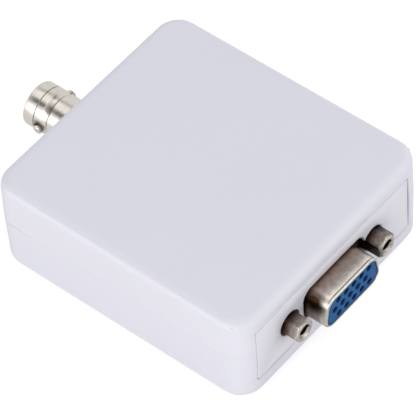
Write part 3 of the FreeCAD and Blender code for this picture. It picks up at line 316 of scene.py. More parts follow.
# %% [markdown]
# ### The lamps
# Four soft lamps: one overhead, one on either side and one by the socket. A large lamp
# close by gives a soft shadow, as a photographer's softbox does. The right one is left
# out of reflections, because it would leave a blob on the barrel's neck.


# %% Lamps
def add_softbox(name, place, size, watts, tint=(1, 1, 1), glossy=True):
    """A lamp with a wide soft face, turned to the middle of the box."""
    lamp = bpy.data.lights.new(name, "AREA")
    lamp.shape = "RECTANGLE"
    lamp.size, lamp.size_y = size
    lamp.energy = watts
    lamp.color = tint
    thing = bpy.data.objects.new(name, lamp)
    bpy.context.scene.collection.objects.link(thing)
    thing.location = place
    aim = Vector((0, 0, 0.01)) - Vector(place)
    thing.rotation_euler = aim.to_track_quat("-Z", "Y").to_euler()
    thing.visible_glossy = glossy


WARM = (1.0, 0.985, 0.9)
add_softbox("top_softbox", (0.1, 0.35, 1.1), (0.9, 0.9), 1.2)
add_softbox("left_softbox", (-1.0, -0.2, 0.35), (0.7, 0.5), 5.0, WARM)
add_softbox("front_softbox", (0.25, -1.1, 0.3), (0.8, 0.4), 2.1, WARM)
add_softbox("right_softbox", (1.0, -0.1, 0.45), (0.7, 0.5), 3.5, WARM, glossy=False)

# %% [markdown]
# ### Cards for the metal
# Bare metal shows little but its surroundings. A photographer sets up white and black
# cards to give it bright and dark bands. From this camera, everything that runs along the
# box reflects one slanting ring of the room, so the cards stand along that ring. Only
# reflections see them.

# %% Cards
CARD_DISTANCE = 0.8
RING_SLANT = 0.4313


def build_card_material(name, level):
    material, nodes, surface = new_material(name)
    nodes.fill(surface, {
        "Base Color": (0, 0, 0, 1), "Roughness": 1.0, "Specular IOR Level": 0.0,
        "Emission Color": (1.0, 0.985, 0.96, 1), "Emission Strength": level})
    return material


def add_card(name, towards, across, width, length, level):
    """A card square to a direction from the box; its width runs along `across`."""
    sideways = (across - across.dot(towards) * towards).normalized()
    facing = Matrix((sideways, towards.cross(sideways), towards)).transposed()
    bpy.ops.object.select_all(action="DESELECT")
    bpy.ops.mesh.primitive_plane_add(
        size=1, location=towards * CARD_DISTANCE, rotation=facing.to_euler())
    bpy.context.object.scale = (width, length, 1)
    card = settle(name)
    card.data.materials.append(build_card_material(name, level))
    for ray in ("camera", "diffuse", "shadow", "transmission", "volume_scatter"):
        setattr(card, "visible_" + ray, False)


def add_ring_card(name, angle, span, level, length=0.5):
    """A card on the ring: angle 0 is overhead, 90 is level on the left."""
    lean = math.radians(angle)
    radial = math.sqrt(1 - RING_SLANT ** 2)
    towards = Vector((-math.sin(lean) * radial, RING_SLANT, math.cos(lean) * radial))
    along_ring = Vector((-math.cos(lean), 0, -math.sin(lean)))
    width = 2 * CARD_DISTANCE * radial * math.tan(math.radians(span / 2))
    add_card(name, towards, along_ring, width, length, level)


add_ring_card("grey_card", -31, 16, 0.5)
add_ring_card("overhead_card", -4, 34, 1.15)
add_ring_card("black_card", 30, 22, 0.04)
add_ring_card("white_card", 75, 32, 2.6)
add_card("lip_card", Vector((0.466, -0.16, 0.87)).normalized(), Vector((1, 0, 0)), 0.3, 0.4,
         0.05)

# %% [markdown]
# ## Finishes as node groups
# Several finishes share an effect: mould grain, tarnish, worn edges, lathe lines. Each
# is a node group that is built once and placed in a material with its own numbers. A
# group gives back colours, masks and heights only, and the shader stays in the material.


# %% Helpers for node groups
def new_group(name, inputs, outputs):
    """An empty node group with named sockets; returns its tree, its inputs and its end."""
    tree = bpy.data.node_groups.new(name, "ShaderNodeTree")
    for socket_name, kind, value in inputs:
        socket = tree.interface.new_socket(socket_name, in_out="INPUT", socket_type=kind)
        socket.default_value = value
    for socket_name, kind in outputs:
        tree.interface.new_socket(socket_name, in_out="OUTPUT", socket_type=kind)
    nodes = Nodes(tree)
    start = nodes.add("NodeGroupInput")
    end = nodes.add("NodeGroupOutput")
    return nodes, start.outputs, end.inputs


FLOAT = "NodeSocketFloat"
COLOUR = "NodeSocketColor"


# %% [markdown]
# ### Mould grain
# The steel of a mould is spark-eroded, so the plastic carries a fine matt grain. It is
# far below a millimetre, with a slow drift of tone over the whole part.

# %% Mould grain group
def build_mould_grain():
    nodes, start, end = new_group(
        "mould_grain",
        [("Color", COLOUR, (0.8, 0.8, 0.8, 1)), ("Grain", FLOAT, 3500.0),
         ("Drift", FLOAT, 0.03), ("Roughness", FLOAT, 0.45)],
        [("Color", COLOUR), ("Roughness", FLOAT), ("Height", FLOAT)])
    place = nodes.place()
    value = nodes.math("ADD", nodes.swing(place, 45.0, 2.0, start["Drift"]), 1.0)
    toned = nodes.add("ShaderNodeHueSaturation", {"Value": value, "Color": start["Color"]})
    nodes.feed(end["Color"], toned.outputs["Color"])
    rough = nodes.remap(nodes.noise(place, 420.0), 0.1, 0.9, -0.04, 0.04)
    nodes.feed(end["Roughness"], nodes.math("ADD", start["Roughness"], rough))
    nodes.feed(end["Height"], nodes.noise(place, start["Grain"], 3.0))
    return nodes.tree


MOULD_GRAIN = build_mould_grain()


# %% [markdown]
# ### Worn edges
# Handling polishes the edges first and leaves them a little lighter. Cycles can feel an
# edge with its Bevel node: where the bevelled normal leaves the true one, there is an edge
# within reach.

# %% Edge group
def build_edge_mask():
    nodes, start, end = new_group(
        "edge_mask",
        [("Reach", FLOAT, 0.0003), ("Gain", FLOAT, 6.0)],
        [("Mask", FLOAT), ("Normal", "NodeSocketVector")])
    soft = nodes.add("ShaderNodeBevel", {"Radius": start["Reach"]}, samples=6).outputs[0]
    true = nodes.add("ShaderNodeNewGeometry").outputs["Normal"]
    match = nodes.vector("DOT_PRODUCT", soft, true)["Value"]
    away = nodes.math("SUBTRACT", 1.0, match, clamp=True)
    nodes.feed(end["Mask"], nodes.math("MULTIPLY", away, start["Gain"], clamp=True))
    nodes.feed(end["Normal"], soft)
    return nodes.tree


EDGE_MASK = build_edge_mask()


# %% [markdown]
# ### Metal skin
# Nickel plate is never one even mirror. It has cloudy patches where the bath left it
# duller, fine wipe marks, and small dark specks.

# %% Metal group
def build_metal_skin():
    nodes, start, end = new_group(
        "metal_skin",
        [("Color", COLOUR, (0.6, 0.57, 0.52, 1)), ("Dull Color", COLOUR, (0.4, 0.36, 0.31, 1)),
         ("Roughness", FLOAT, 0.22), ("Spread", FLOAT, 0.12), ("Cloud", FLOAT, 380.0),
         ("Specks", FLOAT, 0.25)],
        [("Color", COLOUR), ("Roughness", FLOAT), ("Height", FLOAT)])
    place = nodes.place()
    cloud = nodes.noise(place, start["Cloud"], 4.0)
    patch = nodes.remap(cloud, 0.35, 0.7)
    speck = nodes.remap(nodes.noise(place, 2600.0), 0.66, 0.74)
    speck = nodes.math("MULTIPLY", speck, start["Specks"])
    tone = nodes.math("ADD", nodes.math("MULTIPLY", patch, 0.7), speck, clamp=True)
    nodes.feed(end["Color"], nodes.mix(tone, start["Color"], start["Dull Color"]))
    wiped = nodes.noise(nodes.squeeze(place, (1.0, 0.12, 1.0)), 5200.0)
    grain = nodes.math("ADD", nodes.math("MULTIPLY", patch, start["Spread"]),
                       nodes.math("MULTIPLY", wiped, start["Spread"]))
    nodes.feed(end["Roughness"], nodes.math("ADD", start["Roughness"], grain))
    nodes.feed(end["Height"], wiped)
    return nodes.tree


METAL_SKIN = build_metal_skin()


# %% [markdown]
# ### Lathe lines
# A turning tool leaves fine rings round the barrel. Noise that is stretched sideways and
# left fine along the axis gives the same rings, as a height for the bump.

# %% Lathe line group
def build_lathe_lines():
    nodes, start, end = new_group(
        "lathe_lines", [("Lines", FLOAT, 9000.0)], [("Height", FLOAT)])
    rings = nodes.squeeze(nodes.place(), (0.02, 1.0, 0.02))
    nodes.feed(end["Height"], nodes.noise(rings, start["Lines"], 3.0))
    return nodes.tree


LATHE_LINES = build_lathe_lines()


# %% [markdown]
# ### Tarnish and painted shade
# Plugs and fingers rub the front of the socket clean, and further in the plate goes
# brown. One group gives the depth behind the front, a little ragged, for a colour ramp
# to turn into tarnish with painted shade and a painted highlight. Two more give painted
# shade on the faces that don't look up and a painted dark line behind the rim. Another
# gives one soft painted dark patch, for dark reflections and shade. The last paints shade
# into the places that see little of the room.

# %% Tarnish and painted shade groups
def build_root_depth():
    nodes, start, end = new_group(
        "root_depth", [("Front", FLOAT, -0.0352), ("Back", FLOAT, -0.0300)],
        [("Depth", FLOAT)])
    place = nodes.place()
    ragged = nodes.math("ADD", nodes.swing(place, 500.0, 3.0, 0.0011),
                        nodes.swing(place, 4500.0, 2.0, 0.0009))
    depth = nodes.math("ADD", nodes.along(place, "Y"), ragged)
    nodes.feed(end["Depth"], nodes.remap(depth, start["Front"], start["Back"]))
    return nodes.tree


def build_facing():
    """How far a face looks up: 1 on the top, 0 on the sides and below."""
    nodes, start, end = new_group("facing", [], [("Up", FLOAT)])
    normal = nodes.add("ShaderNodeTexCoord").outputs["Normal"]
    nodes.feed(end["Up"], nodes.remap(nodes.along(normal, "Z"), 0.4, 0.9))
    return nodes.tree


def build_rim_shade_line():
    """A painted dark line a short way behind the front, for the shade behind the rolled rim."""
    nodes, start, end = new_group(
        "rim_shade_line", [("Level", FLOAT, -0.035), ("Half Width", FLOAT, 0.0001)],
        [("Mask", FLOAT)])
    behind = nodes.math("SUBTRACT", nodes.along(nodes.place(), "Y"), start["Level"])
    away = nodes.math("DIVIDE", nodes.math("ABSOLUTE", behind), start["Half Width"])
    nodes.feed(end["Mask"], nodes.remap(away, 0.8, 1.4, 1.0, 0.0))
    return nodes.tree


# Painted dark patch: a soft dark spot that stands in for dark reflections and shade.
def build_painted_dark_patch():
    nodes, start, end = new_group(
        "painted_dark_patch", [("Centre", "NodeSocketVector", (0, 0, 0)),
                  ("Reach", "NodeSocketVector", (0.002, 0.002, 0.002)),
                  ("Strength", FLOAT, 1.0)],
        [("Mask", FLOAT)])
    place = nodes.place()
    offset = nodes.vector("SUBTRACT", place, start["Centre"])["Vector"]
    scaled = nodes.vector("DIVIDE", offset, start["Reach"])["Vector"]
    distance = nodes.vector("LENGTH", scaled)["Value"]
    distance = nodes.math("ADD", distance, nodes.swing(place, 900.0, 3.0, 0.3))
    patch = nodes.remap(distance, 0.45, 1.1, 1.0, 0.0)
    nodes.feed(end["Mask"], nodes.math("MULTIPLY", patch, start["Strength"]))
    return nodes.tree


# Painted shade: an ambient occlusion node darkens the places that see little of the room.
def build_occlusion_shade():
    nodes, start, end = new_group(
        "occlusion_shade", [("Reach", FLOAT, 0.002), ("Low", FLOAT, 0.35), ("High", FLOAT, 0.85)],
        [("Mask", FLOAT)])
    seen = nodes.add("ShaderNodeAmbientOcclusion", {"Distance": start["Reach"]}, samples=8)
    nodes.feed(end["Mask"], nodes.remap(seen.outputs["AO"], start["Low"], start["High"], 1.0, 0.0))
    return nodes.tree


ROOT_DEPTH = build_root_depth()
FACING = build_facing()
RIM_SHADE_LINE_GROUP = build_rim_shade_line()
DARK_PATCH_GROUP = build_painted_dark_patch()
OCCLUSION_SHADE_GROUP = build_occlusion_shade()


# %% [markdown]
# ## The materials
# Each of the record's slots gets one material, named by its finish. Two builders make them
# all, one for what is moulded and one for what is plated, so the finishes differ only in
# their numbers.

# %% Material builders
TONE_DRIFT = 0.03
PLASTIC_WEAR = 0.36
METAL_WEAR = 0.7
DULL_SPREAD = 0.12
METAL_EDGE = 0.2
METAL_GRAIN_DEPTH = 0.01
# Painted shade: faces of the D that don't look up are dimmed to this value of their tone.
PAINTED_SIDE_SHADE = 0.68
# Tint of the painted dark line behind the D's rim.
RIM_SHADE_TINT = (0.2, 0.165, 0.135)
# Tint of the painted dark patches on the metal.
DARK_PATCH_TINT = (0.035, 0.018, 0.01)
# Tint of the painted shade in the metal's hollows.
OCCLUSION_SHADE_TINT = (0.03, 0.018, 0.012)
# Tint of the painted shade along the end panel's gaps.
GAP_SHADE_TINT = (0.42, 0.38, 0.44)


def use_group(nodes, tree, **values):
    """Place a group in a tree; an underscore stands for the space in a socket's name."""
    node = nodes.add("ShaderNodeGroup", node_tree=tree)
    return nodes.fill(node, {key.replace("_", " "): part for key, part in values.items()}).outputs


def with_dark_patches(nodes, tone, dark_patches, tint):
    """The tone under painted dark patches, each with a centre and a reach in mm and a strength."""
    for centre, reach, strength in dark_patches:
        patch = use_group(nodes, DARK_PATCH_GROUP, Centre=metres(centre), Reach=metres(reach),
                          Strength=strength)["Mask"]
        tone = nodes.mix(patch, tone, (*tint, 1))
    return tone


def with_occlusion_shade(nodes, tone, occlusion_shade, tint):
    """The tone with painted shade in the places that see little of the room."""
    reach, low, high = occlusion_shade
    hollow_shade = use_group(nodes, OCCLUSION_SHADE_GROUP, Reach=reach * MM, Low=low, High=high)["Mask"]
    return nodes.mix(hollow_shade, tone, (*tint, 1))


def tarnished_and_shaded(nodes, tone, worn, tarnish_and_shade):
    """Tone and wear of a plate that browns with depth, with painted shade and a painted highlight
    in the ramp, at levels in mm along Y.
    """
    front, back = tarnish_and_shade[0][0], tarnish_and_shade[-1][0]
    depth = use_group(nodes, ROOT_DEPTH, Front=front * MM, Back=back * MM)["Depth"]
    stops = [((level - front) / (back - front), tint) for level, tint in tarnish_and_shade]
    tone = nodes.mix(1.0, nodes.ramp(depth, stops), tone, "MULTIPLY")
    return tone, nodes.math("MULTIPLY", worn, nodes.math("SUBTRACT", 1.0, depth))


def with_side_shade_and_rim_line(nodes, tone, level, half_width):
    """Paint shade on the faces that don't look up, and a painted dark line behind the rim on those
    that do.
    """
    up = use_group(nodes, FACING)["Up"]
    side_shaded = nodes.add("ShaderNodeHueSaturation", {"Value": PAINTED_SIDE_SHADE, "Color": tone})
    tone = nodes.mix(up, side_shaded.outputs["Color"], tone)
    line = use_group(nodes, RIM_SHADE_LINE_GROUP, Level=level * MM, Half_Width=half_width * MM)["Mask"]
    return nodes.mix(nodes.math("MULTIPLY", line, up), tone, (*RIM_SHADE_TINT, 1))


def bump_of(nodes, height, edges, strength, depth):
    """The normal of a fine relief, `depth` millimetres deep, over softened edges."""
    return nodes.add("ShaderNodeBump", {"Height": height, "Normal": edges["Normal"],
                                        "Strength": strength, "Distance": depth * MM}).outputs[0]


def plastic(name, colour, roughness, grain=3500.0, depth=0.05, edge=0.3, specular=0.5,
            hollow=None, gap_shade=()):
    """Moulded plastic: grain in the bump, drift in the tone, lighter polished edges, painted shade
    in holes and along gaps.
    """
    material, nodes, surface = new_material(name)
    skin = use_group(nodes, MOULD_GRAIN, Color=(*colour, 1), Grain=grain, Drift=TONE_DRIFT,
                     Roughness=roughness)
    edges = use_group(nodes, EDGE_MASK, Reach=edge * MM, Gain=4.0)
    lighter = tuple(min(1.0, part * 1.08 + 0.01) for part in colour)
    worn = nodes.math("MULTIPLY", edges["Mask"], PLASTIC_WEAR)
    tone = nodes.mix(worn, skin["Color"], (*lighter, 1))
    # Painted shade inside the holes.
    if hollow:
        tone = with_occlusion_shade(nodes, tone, (1.2, 0.7, 0.97), hollow)
    polish = nodes.math("MULTIPLY", edges["Mask"], 0.08)
    # The gap shade patches paint shade along the panel's gaps.
    nodes.fill(surface, {
        "Base Color": with_dark_patches(nodes, tone, gap_shade, GAP_SHADE_TINT),
        "Roughness": nodes.math("SUBTRACT", skin["Roughness"], polish),
        "Normal": bump_of(nodes, skin["Height"], edges, 0.5, depth),
        "Specular IOR Level": specular})
    return material


def metal(name, colour, dull, roughness, cloud=380.0, specks=0.25, bright=None, lathe=None,
          tarnish_and_shade=None, rim_shade_line=None, dark_patches=(), occlusion_shade=None):
    """Plated metal: cloudy tone, uneven gloss, brighter rubbed edges, optional lathe lines, and
    optional painted light: tarnish with painted shade, painted side shade, a painted rim line,
    painted dark patches and painted shade in hollows.
    """
    material, nodes, surface = new_material(name)
    skin = use_group(nodes, METAL_SKIN, Color=(*colour, 1), Dull_Color=(*dull, 1),
                     Roughness=roughness, Spread=DULL_SPREAD, Cloud=cloud, Specks=specks)
    edges = use_group(nodes, EDGE_MASK, Reach=METAL_EDGE * MM, Gain=3.0)
    tone, height = skin["Color"], skin["Height"]
    worn = nodes.math("MULTIPLY", edges["Mask"], METAL_WEAR)
    # Tarnish with painted shade and a painted highlight, by depth behind the front.
    if tarnish_and_shade:
        tone, worn = tarnished_and_shaded(nodes, tone, worn, tarnish_and_shade)
    bright = bright or tuple(min(1.0, part * 1.25) for part in colour)
    tone = nodes.mix(worn, tone, (*bright, 1))
    # Painted side shade and a painted dark line behind the rim.
    if rim_shade_line:
        tone = with_side_shade_and_rim_line(nodes, tone, *rim_shade_line)
    # Painted dark patches for dark reflections and shade.
    tone = with_dark_patches(nodes, tone, dark_patches, DARK_PATCH_TINT)
    # Painted shade in the hollows.
    if occlusion_shade:
        tone = with_occlusion_shade(nodes, tone, occlusion_shade, OCCLUSION_SHADE_TINT)
    if lathe:
        height = use_group(nodes, LATHE_LINES, Lines=lathe)["Height"]
    nodes.fill(surface, {
        "Base Color": tone, "Roughness": skin["Roughness"], "Metallic": 1.0,
        "Normal": bump_of(nodes, height, edges, 0.35, METAL_GRAIN_DEPTH)})
    return material


# %% [markdown]
# ### Moulded finishes
# The white of the box has a hint of violet. Painted shade darkens the end panel's far gap
# and its lower one, and painted shade darkens the blue block's holes inside.

# %% Plastics, board and ceramics
# Painted shade along the end panel's gaps: centre and reach in mm, and strength.
GAP_SHADE_PATCHES = [((22.3, -29.6, 11.4), (0.55, 3.0, 7.5), 0.45),
               ((-17.6, -30.4, 4.5), (7.5, 1.5, 0.55), 0.6),
               ((16.6, -30.4, 4.5), (7.5, 1.5, 0.55), 0.6)]
PLASTICS = {
    "shell_plastic": dict(colour=(0.702, 0.702, 0.8), roughness=0.33, edge=0.15,
                          specular=0.35, gap_shade=GAP_SHADE_PATCHES),
    "panel_plastic": dict(colour=(0.718, 0.716, 0.8), roughness=0.38, specular=0.35,
                          gap_shade=GAP_SHADE_PATCHES),
    # The blue block's hollow colour is painted shade inside its holes.
    "blue_plastic": dict(colour=(0.014, 0.1, 0.285), roughness=0.5, grain=5000.0,
                         specular=0.1, hollow=(0.0, 0.014, 0.085)),
    "black_plastic": dict(colour=(0.012, 0.012, 0.013), roughness=0.5),
    "white_insulator": dict(colour=(0.8, 0.79, 0.76), roughness=0.35, depth=0.02),
    "chip_moulding": dict(colour=(0.018, 0.018, 0.02), roughness=0.55, depth=0.08),
    "board_laminate": dict(colour=(0.02, 0.16, 0.06), roughness=0.35, grain=1600.0),
    "ceramic_part": dict(colour=(0.3, 0.24, 0.17), roughness=0.5, depth=0.03),
    "ferrite": dict(colour=(0.05, 0.05, 0.055), roughness=0.7, depth=0.1),
}
FINISHES = {name: plastic(name, **numbers) for name, numbers in PLASTICS.items()}
print("moulded finishes", len(PLASTICS))

# %% [markdown]
# ### Metal finishes
# The D shell and the standoffs are the oldest-looking metal on the box: bright in front,
# brown at the root. Their colour comes from the tarnish levels, which also carry painted
# shade at the root and a painted highlight behind the D's rim, so their own two colours
# only cloud it. The barrel is cleaner. Painted dark patches stand for dark reflections and
# shade, and painted shade darkens the hollows.

# %% Metals
# Tarnish with painted light: each stop is a level in mm along Y and a tint. The bright stops just
# behind the D's rim are a painted highlight, and the dark stops towards the root are painted shade
# as well as tarnish.
SHELL_TARNISH_AND_SHADE = [
    (-35.3, (0.8, 0.77, 0.68)), (-34.85, (0.86, 0.83, 0.76)), (-34.5, (0.82, 0.78, 0.72)),
    (-34.2, (0.64, 0.6, 0.56)), (-33.9, (0.51, 0.47, 0.44)), (-33.5, (0.42, 0.375, 0.35)),
    (-33.0, (0.35, 0.3, 0.275)), (-31.9, (0.31, 0.25, 0.215)), (-31.3, (0.25, 0.18, 0.145)),
    (-30.9, (0.16, 0.1, 0.075)), (-30.3, (0.1, 0.055, 0.033)), (-28.2, (0.1, 0.055, 0.033)),
    (-27.0, (0.6, 0.57, 0.52)),
]
# The standoffs' ramp is tarnish with painted shade, darker towards the root.
STANDOFF_TARNISH_AND_SHADE = [
    (-34.05, (0.5, 0.48, 0.45)), (-33.7, (0.36, 0.335, 0.31)), (-33.3, (0.25, 0.215, 0.2)),
    (-32.4, (0.23, 0.19, 0.18)), (-31.8, (0.17, 0.13, 0.115)), (-31.2, (0.11, 0.075, 0.06)),
    (-30.6, (0.05, 0.03, 0.02)),
]
# Dark patches (centre and reach in mm, strength) are painted dark reflections and shade: the D's
# upper left corner, by the standoffs, the barrel's neck and round its left lug.
METALS = {
    "nickel_sheet": dict(
        colour=(1.16, 1.16, 1.16), dull=(0.8, 0.77, 0.74), roughness=0.24, cloud=1100.0,
        specks=0.8, bright=(0.85, 0.82, 0.74), tarnish_and_shade=SHELL_TARNISH_AND_SHADE, rim_shade_line=(-35.0, 0.08),
        dark_patches=[((-8.8, -31.9, 14.1), (1.9, 3.1, 2.3), 1.0)], occlusion_shade=(1.2, 0.1, 0.55)),
    "nickel_standoff": dict(
        colour=(1.3, 1.3, 1.3), dull=(0.62, 0.58, 0.54), roughness=0.26, cloud=1500.0,
        specks=0.9, bright=(0.92, 0.89, 0.83), tarnish_and_shade=STANDOFF_TARNISH_AND_SHADE,
        dark_patches=[((8.9, -33.2, 11.4), (1.3, 3.4, 2.2), 0.7),
                ((-14.6, -34.1, 11.6), (0.9, 0.5, 0.9), 0.6)], occlusion_shade=(3.5, 0.4, 0.86)),
    "nickel_barrel": dict(
        colour=(0.77, 0.735, 0.68), dull=(0.68, 0.63, 0.57), roughness=0.14, lathe=9000.0,
        dark_patches=[((-2.95, 37.15, 15.1), (1.9, 1.0, 1.5), 0.6),
                ((-5.2, 38.3, 11.75), (0.5, 1.4, 1.4), 0.85)], occlusion_shade=(0.8, 0.35, 0.8)),
    "screw_steel": dict(colour=(0.5, 0.48, 0.45), dull=(0.32, 0.3, 0.27), roughness=0.3),
    "gold_contact": dict(colour=(0.85, 0.58, 0.22), dull=(0.6, 0.4, 0.16), roughness=0.2),
    "tinned_metal": dict(colour=(0.62, 0.62, 0.62), dull=(0.45, 0.45, 0.45), roughness=0.32),
    "capacitor_can": dict(colour=(0.7, 0.7, 0.71), dull=(0.58, 0.58, 0.6), roughness=0.28),
}
FINISHES.update({name: metal(name, **numbers) for name, numbers in METALS.items()})
SLOT_OF_NODE = {part["node"]: part["material_slot"] for part in frame["record"]["subparts"]}
print("finishes", len(FINISHES))

# %% [markdown]
# ## Dress the solids
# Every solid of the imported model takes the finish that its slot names. The solids that
# get a finer twin further on are hidden then, and keep their finish all the same.

# %% Finishes on the solids
for node_name, solid in NODES.items():
    solid.data.materials.clear()
    solid.data.materials.append(FINISHES[SLOT_OF_NODE[node_name]])
print("dressed", len(NODES), "solids")


# %% [markdown]
# ## Softened mouldings
# A mould can't hold a knife edge, so every corner of the box has a small round that
# catches the light. The solids leave it out. Here a copy of each moulding has its loose
# triangles merged and its flat faces joined, and a bevel then rounds the sharp edges.
# The rounds that the solids already have are made of shallow steps, and stay as they are.

# %% Copy with softened edges
SHARP_EDGE = 38.0
SEAM_BAND = (12.1, 12.5)


def finish_piece(piece, node_name, smooth=35.0):
    """Smooth a piece, give it the finish of the solid it stands for, and let it ride."""
    only(piece)
    bpy.ops.object.shade_smooth_by_angle(angle=math.radians(smooth))
    slot = SLOT_OF_NODE[node_name]
    piece.data.materials.clear()
    piece.data.materials.append(FINISHES[slot])
    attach(piece, BODY)
    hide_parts(node_name)
    print(piece.name, "faces", len(piece.data.polygons),
          "mm", [round(side / MM, 2) for side in piece.dimensions])


def is_sharp(edge):
    """True for an edge to round: the rims where the two shells meet stay sharp."""
    low, high = SEAM_BAND
    on_seam = all(low * MM < vert.co.z < high * MM for vert in edge.verts)
    return edge.is_manifold and not on_seam and edge.calc_face_angle() > math.radians(SHARP_EDGE)


def round_edges(wanted, width, segments, **values):
    """Bevel the edges that pass a test, and return how many there are."""
    count = pick("edges", wanted)
    bpy.ops.mesh.bevel(offset=width * MM, segments=segments, affect="EDGES", **values)
    return count


def softened(node_name, width, fit=None):
    """Make a twin of a solid with rounded edges, and let it stand for the solid."""
    twin = twin_of(NODES[node_name], node_name + "_soft")
    bpy.ops.mesh.customdata_custom_splitnormals_clear()
    edit_all()
    bpy.ops.mesh.remove_doubles(threshold=0.0005 * MM)
    bpy.ops.mesh.dissolve_limited(angle_limit=math.radians(0.3))
    if fit:
        fit()
    round_edges(is_sharp, width, 2, miter_outer="ARC", clamp_overlap=True)
    bpy.ops.object.mode_set(mode="OBJECT")
    finish_piece(twin, node_name)


# %% [markdown]
# ### How the mouldings meet
# The solids keep one even gap round every joint. On the real box the screws pull the
# halves together, so the seam closes and gapes by a hair at the BNC end only. The VGA
# panel stands up and to the left in its window, which opens its gap on the right. The rim
# vertices of the copies are picked by their place and moved, and all else stays.

# %% Seam and panel fits
SEAM_RIM = 12.39
SEAM_DROP = 0.138
GAPE_START = 19.5
GAPE_DROP = 0.04
PANEL_STEP = -28.9
PANEL_SHIFTS = [(2, 18.18, 0.075), (0, -23.23, -0.04), (0, 22.23, -0.2)]
RIM_SLACK = 0.01


def near(value, millimetres):
    """Is a length in metres the same as one in millimetres?"""
    return abs(value - millimetres * MM) < RIM_SLACK * MM


def close_seam():
    """Lower the upper shell's rim onto the lower shell, less far at the BNC end."""
    edit_all()
    bpy.ops.mesh.bisect(plane_co=(0, GAPE_START * MM, 0), plane_no=(0, 1, 0))
    for gapes, drop in ((False, SEAM_DROP), (True, GAPE_DROP)):
        pick("verts", lambda vert: near(vert.co.z, SEAM_RIM)
             and (vert.co.y > (GAPE_START + 0.1) * MM) == gapes)
        bpy.ops.transform.translate(value=(0, 0, -drop * MM))


def fit_panel():
    """Shift the top, left and right rims of the panel's outer face."""
    for axis, rim, shift in PANEL_SHIFTS:
        pick("verts", lambda vert: near(vert.co[axis], rim) and vert.co.y < PANEL_STEP * MM)
        move = [0, 0, 0]
        move[axis] = shift * MM
        bpy.ops.transform.translate(value=move)


# %% The box, its end panels and the small mouldings
EDGE_ROUNDS = {
    "upper_shell": (0.06, close_seam),
    "lower_shell": (0.06, None),
    "vga_end_panel": (0.07, fit_panel),
    "bnc_end_panel": (0.1, None),
    "bnc_dielectric": (0.12, None),
    "bnc_centre_contact": (0.04, None),
    "power_socket_shell": (0.06, None),
    "power_socket_insulator": (0.06, None),
}
for node_name, (width, fit) in EDGE_ROUNDS.items():
    softened(node_name, width, fit)

# %% [markdown]
# ## Where the connectors sit
# The VGA socket and the BNC barrel each have their own centre line. Both are read from
# the solids' boxes, so that a piece of the lesson always sits where the part says.


# %% Centre lines
def middle_of(node_name):
    low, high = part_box(node_name)
    return (low + high) / 2 / MM


VGA_X = middle_of("vga_front_shell").x
VGA_Z = middle_of("vga_front_shell").z
BNC_X = middle_of("bnc_barrel").x
BNC_Z = middle_of("bnc_barrel").z
SHELL_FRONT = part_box("vga_front_shell")[0].y / MM
FLANGE_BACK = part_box("vga_front_shell")[1].y / MM
print("VGA centre", round(VGA_X, 2), round(VGA_Z, 2), "BNC centre", round(BNC_X, 2),
      round(BNC_Z, 2))

# %% [markdown]
# ## The moves of modelling
# The modelled pieces take a few moves only: a starting shape, edges that are rounded, rings
# that are extruded and resized, and one piece that cuts another or grows it. A turned
# piece is drawn as on a lathe, ring after ring along its axis.

# %% Starting shapes
ALONG_Y = (math.pi / 2, 0, 0)
SAME_LEVEL = 0.01


def bar(name, sides, radius, length, middle, rotation=ALONG_Y):
    """A straight bar with so many sides, along Y unless it is turned."""
    primitive("cylinder", middle, vertices=sides, radius=radius * MM, depth=length * MM,
              rotation=rotation)
    return settle(name)


def block_of(name, sides, middle, turn=0):
    """A block with three sides in millimetres, turned about Y by degrees."""
    primitive("cube", middle, size=1, rotation=(0, math.radians(turn), 0))
    bpy.context.object.scale = metres(sides)
    return settle(name)


def at_level(edge, y):
    """True when both ends of an edge lie at one level along Y."""
    return all(abs(vert.co.y - y * MM) < SAME_LEVEL * MM for vert in edge.verts)


def runs_along_y(edge):
    """True for an edge that runs along Y."""
    return abs(edge.verts[0].co.y - edge.verts[1].co.y) > SAME_LEVEL * MM


# %% Faces, rings and cuts
def stretch(scale, centre):
    """Resize what is selected about a centre in millimetres."""
    bpy.ops.transform.resize(value=scale, center_override=metres(centre))


def push_faces(distance):
    """Extrude the selected faces along Y by a number of millimetres."""
    bpy.ops.mesh.extrude_region_move(TRANSFORM_OT_translate={"value": (0, distance * MM, 0)})


def add_ring(distance, wider, higher, centre):
    """Extrude the selected ring of edges along Y, and resize the new one about a centre."""
    bpy.ops.mesh.extrude_edges_move(TRANSFORM_OT_translate={"value": (0, distance * MM, 0)})
    stretch((wider, 1, higher), centre)


def face_outwards():
    """Turn every face of the edit mesh outwards and leave edit mode."""
    bpy.ops.mesh.select_all(action="SELECT")
    bpy.ops.mesh.normals_make_consistent(inside=False)
    bpy.ops.object.mode_set(mode="OBJECT")


def close_up(hollow=False):
    """Close the open ends, each by itself or one to the other, and leave edit mode."""
    pick("edges", lambda edge: edge.is_boundary)
    if hollow:
        bpy.ops.mesh.bridge_edge_loops()
    else:
        bpy.ops.mesh.fill_holes(sides=0)
    face_outwards()


def lathe(name, profile, x, z, sides, hollow=False):
    """Turn a part: each (y, radius) pair of the profile becomes one ring round the axis."""
    y, radius = profile[0]
    primitive("circle", (x, y, z), vertices=sides, radius=radius * MM, rotation=ALONG_Y)
    piece = settle(name)
    pick("edges")
    for next_y, next_radius in profile[1:]:
        scale = next_radius / radius
        add_ring(next_y - y, scale, scale, (x, next_y, z))
        y, radius = next_y, next_radius
    close_up(hollow)
    return piece


def combine(piece, tool, operation="DIFFERENCE"):
    """Cut a piece by a tool, or grow it by one, and drop the tool."""
    apply_modifier(piece, "BOOLEAN", object=tool, operation=operation, solver="EXACT")
    bpy.data.objects.remove(tool)


def unite(piece, *others):
    """Join closed pieces into one mesh."""
    only(piece)
    for other in others:
        other.select_set(True)
    bpy.ops.object.join()
    return piece


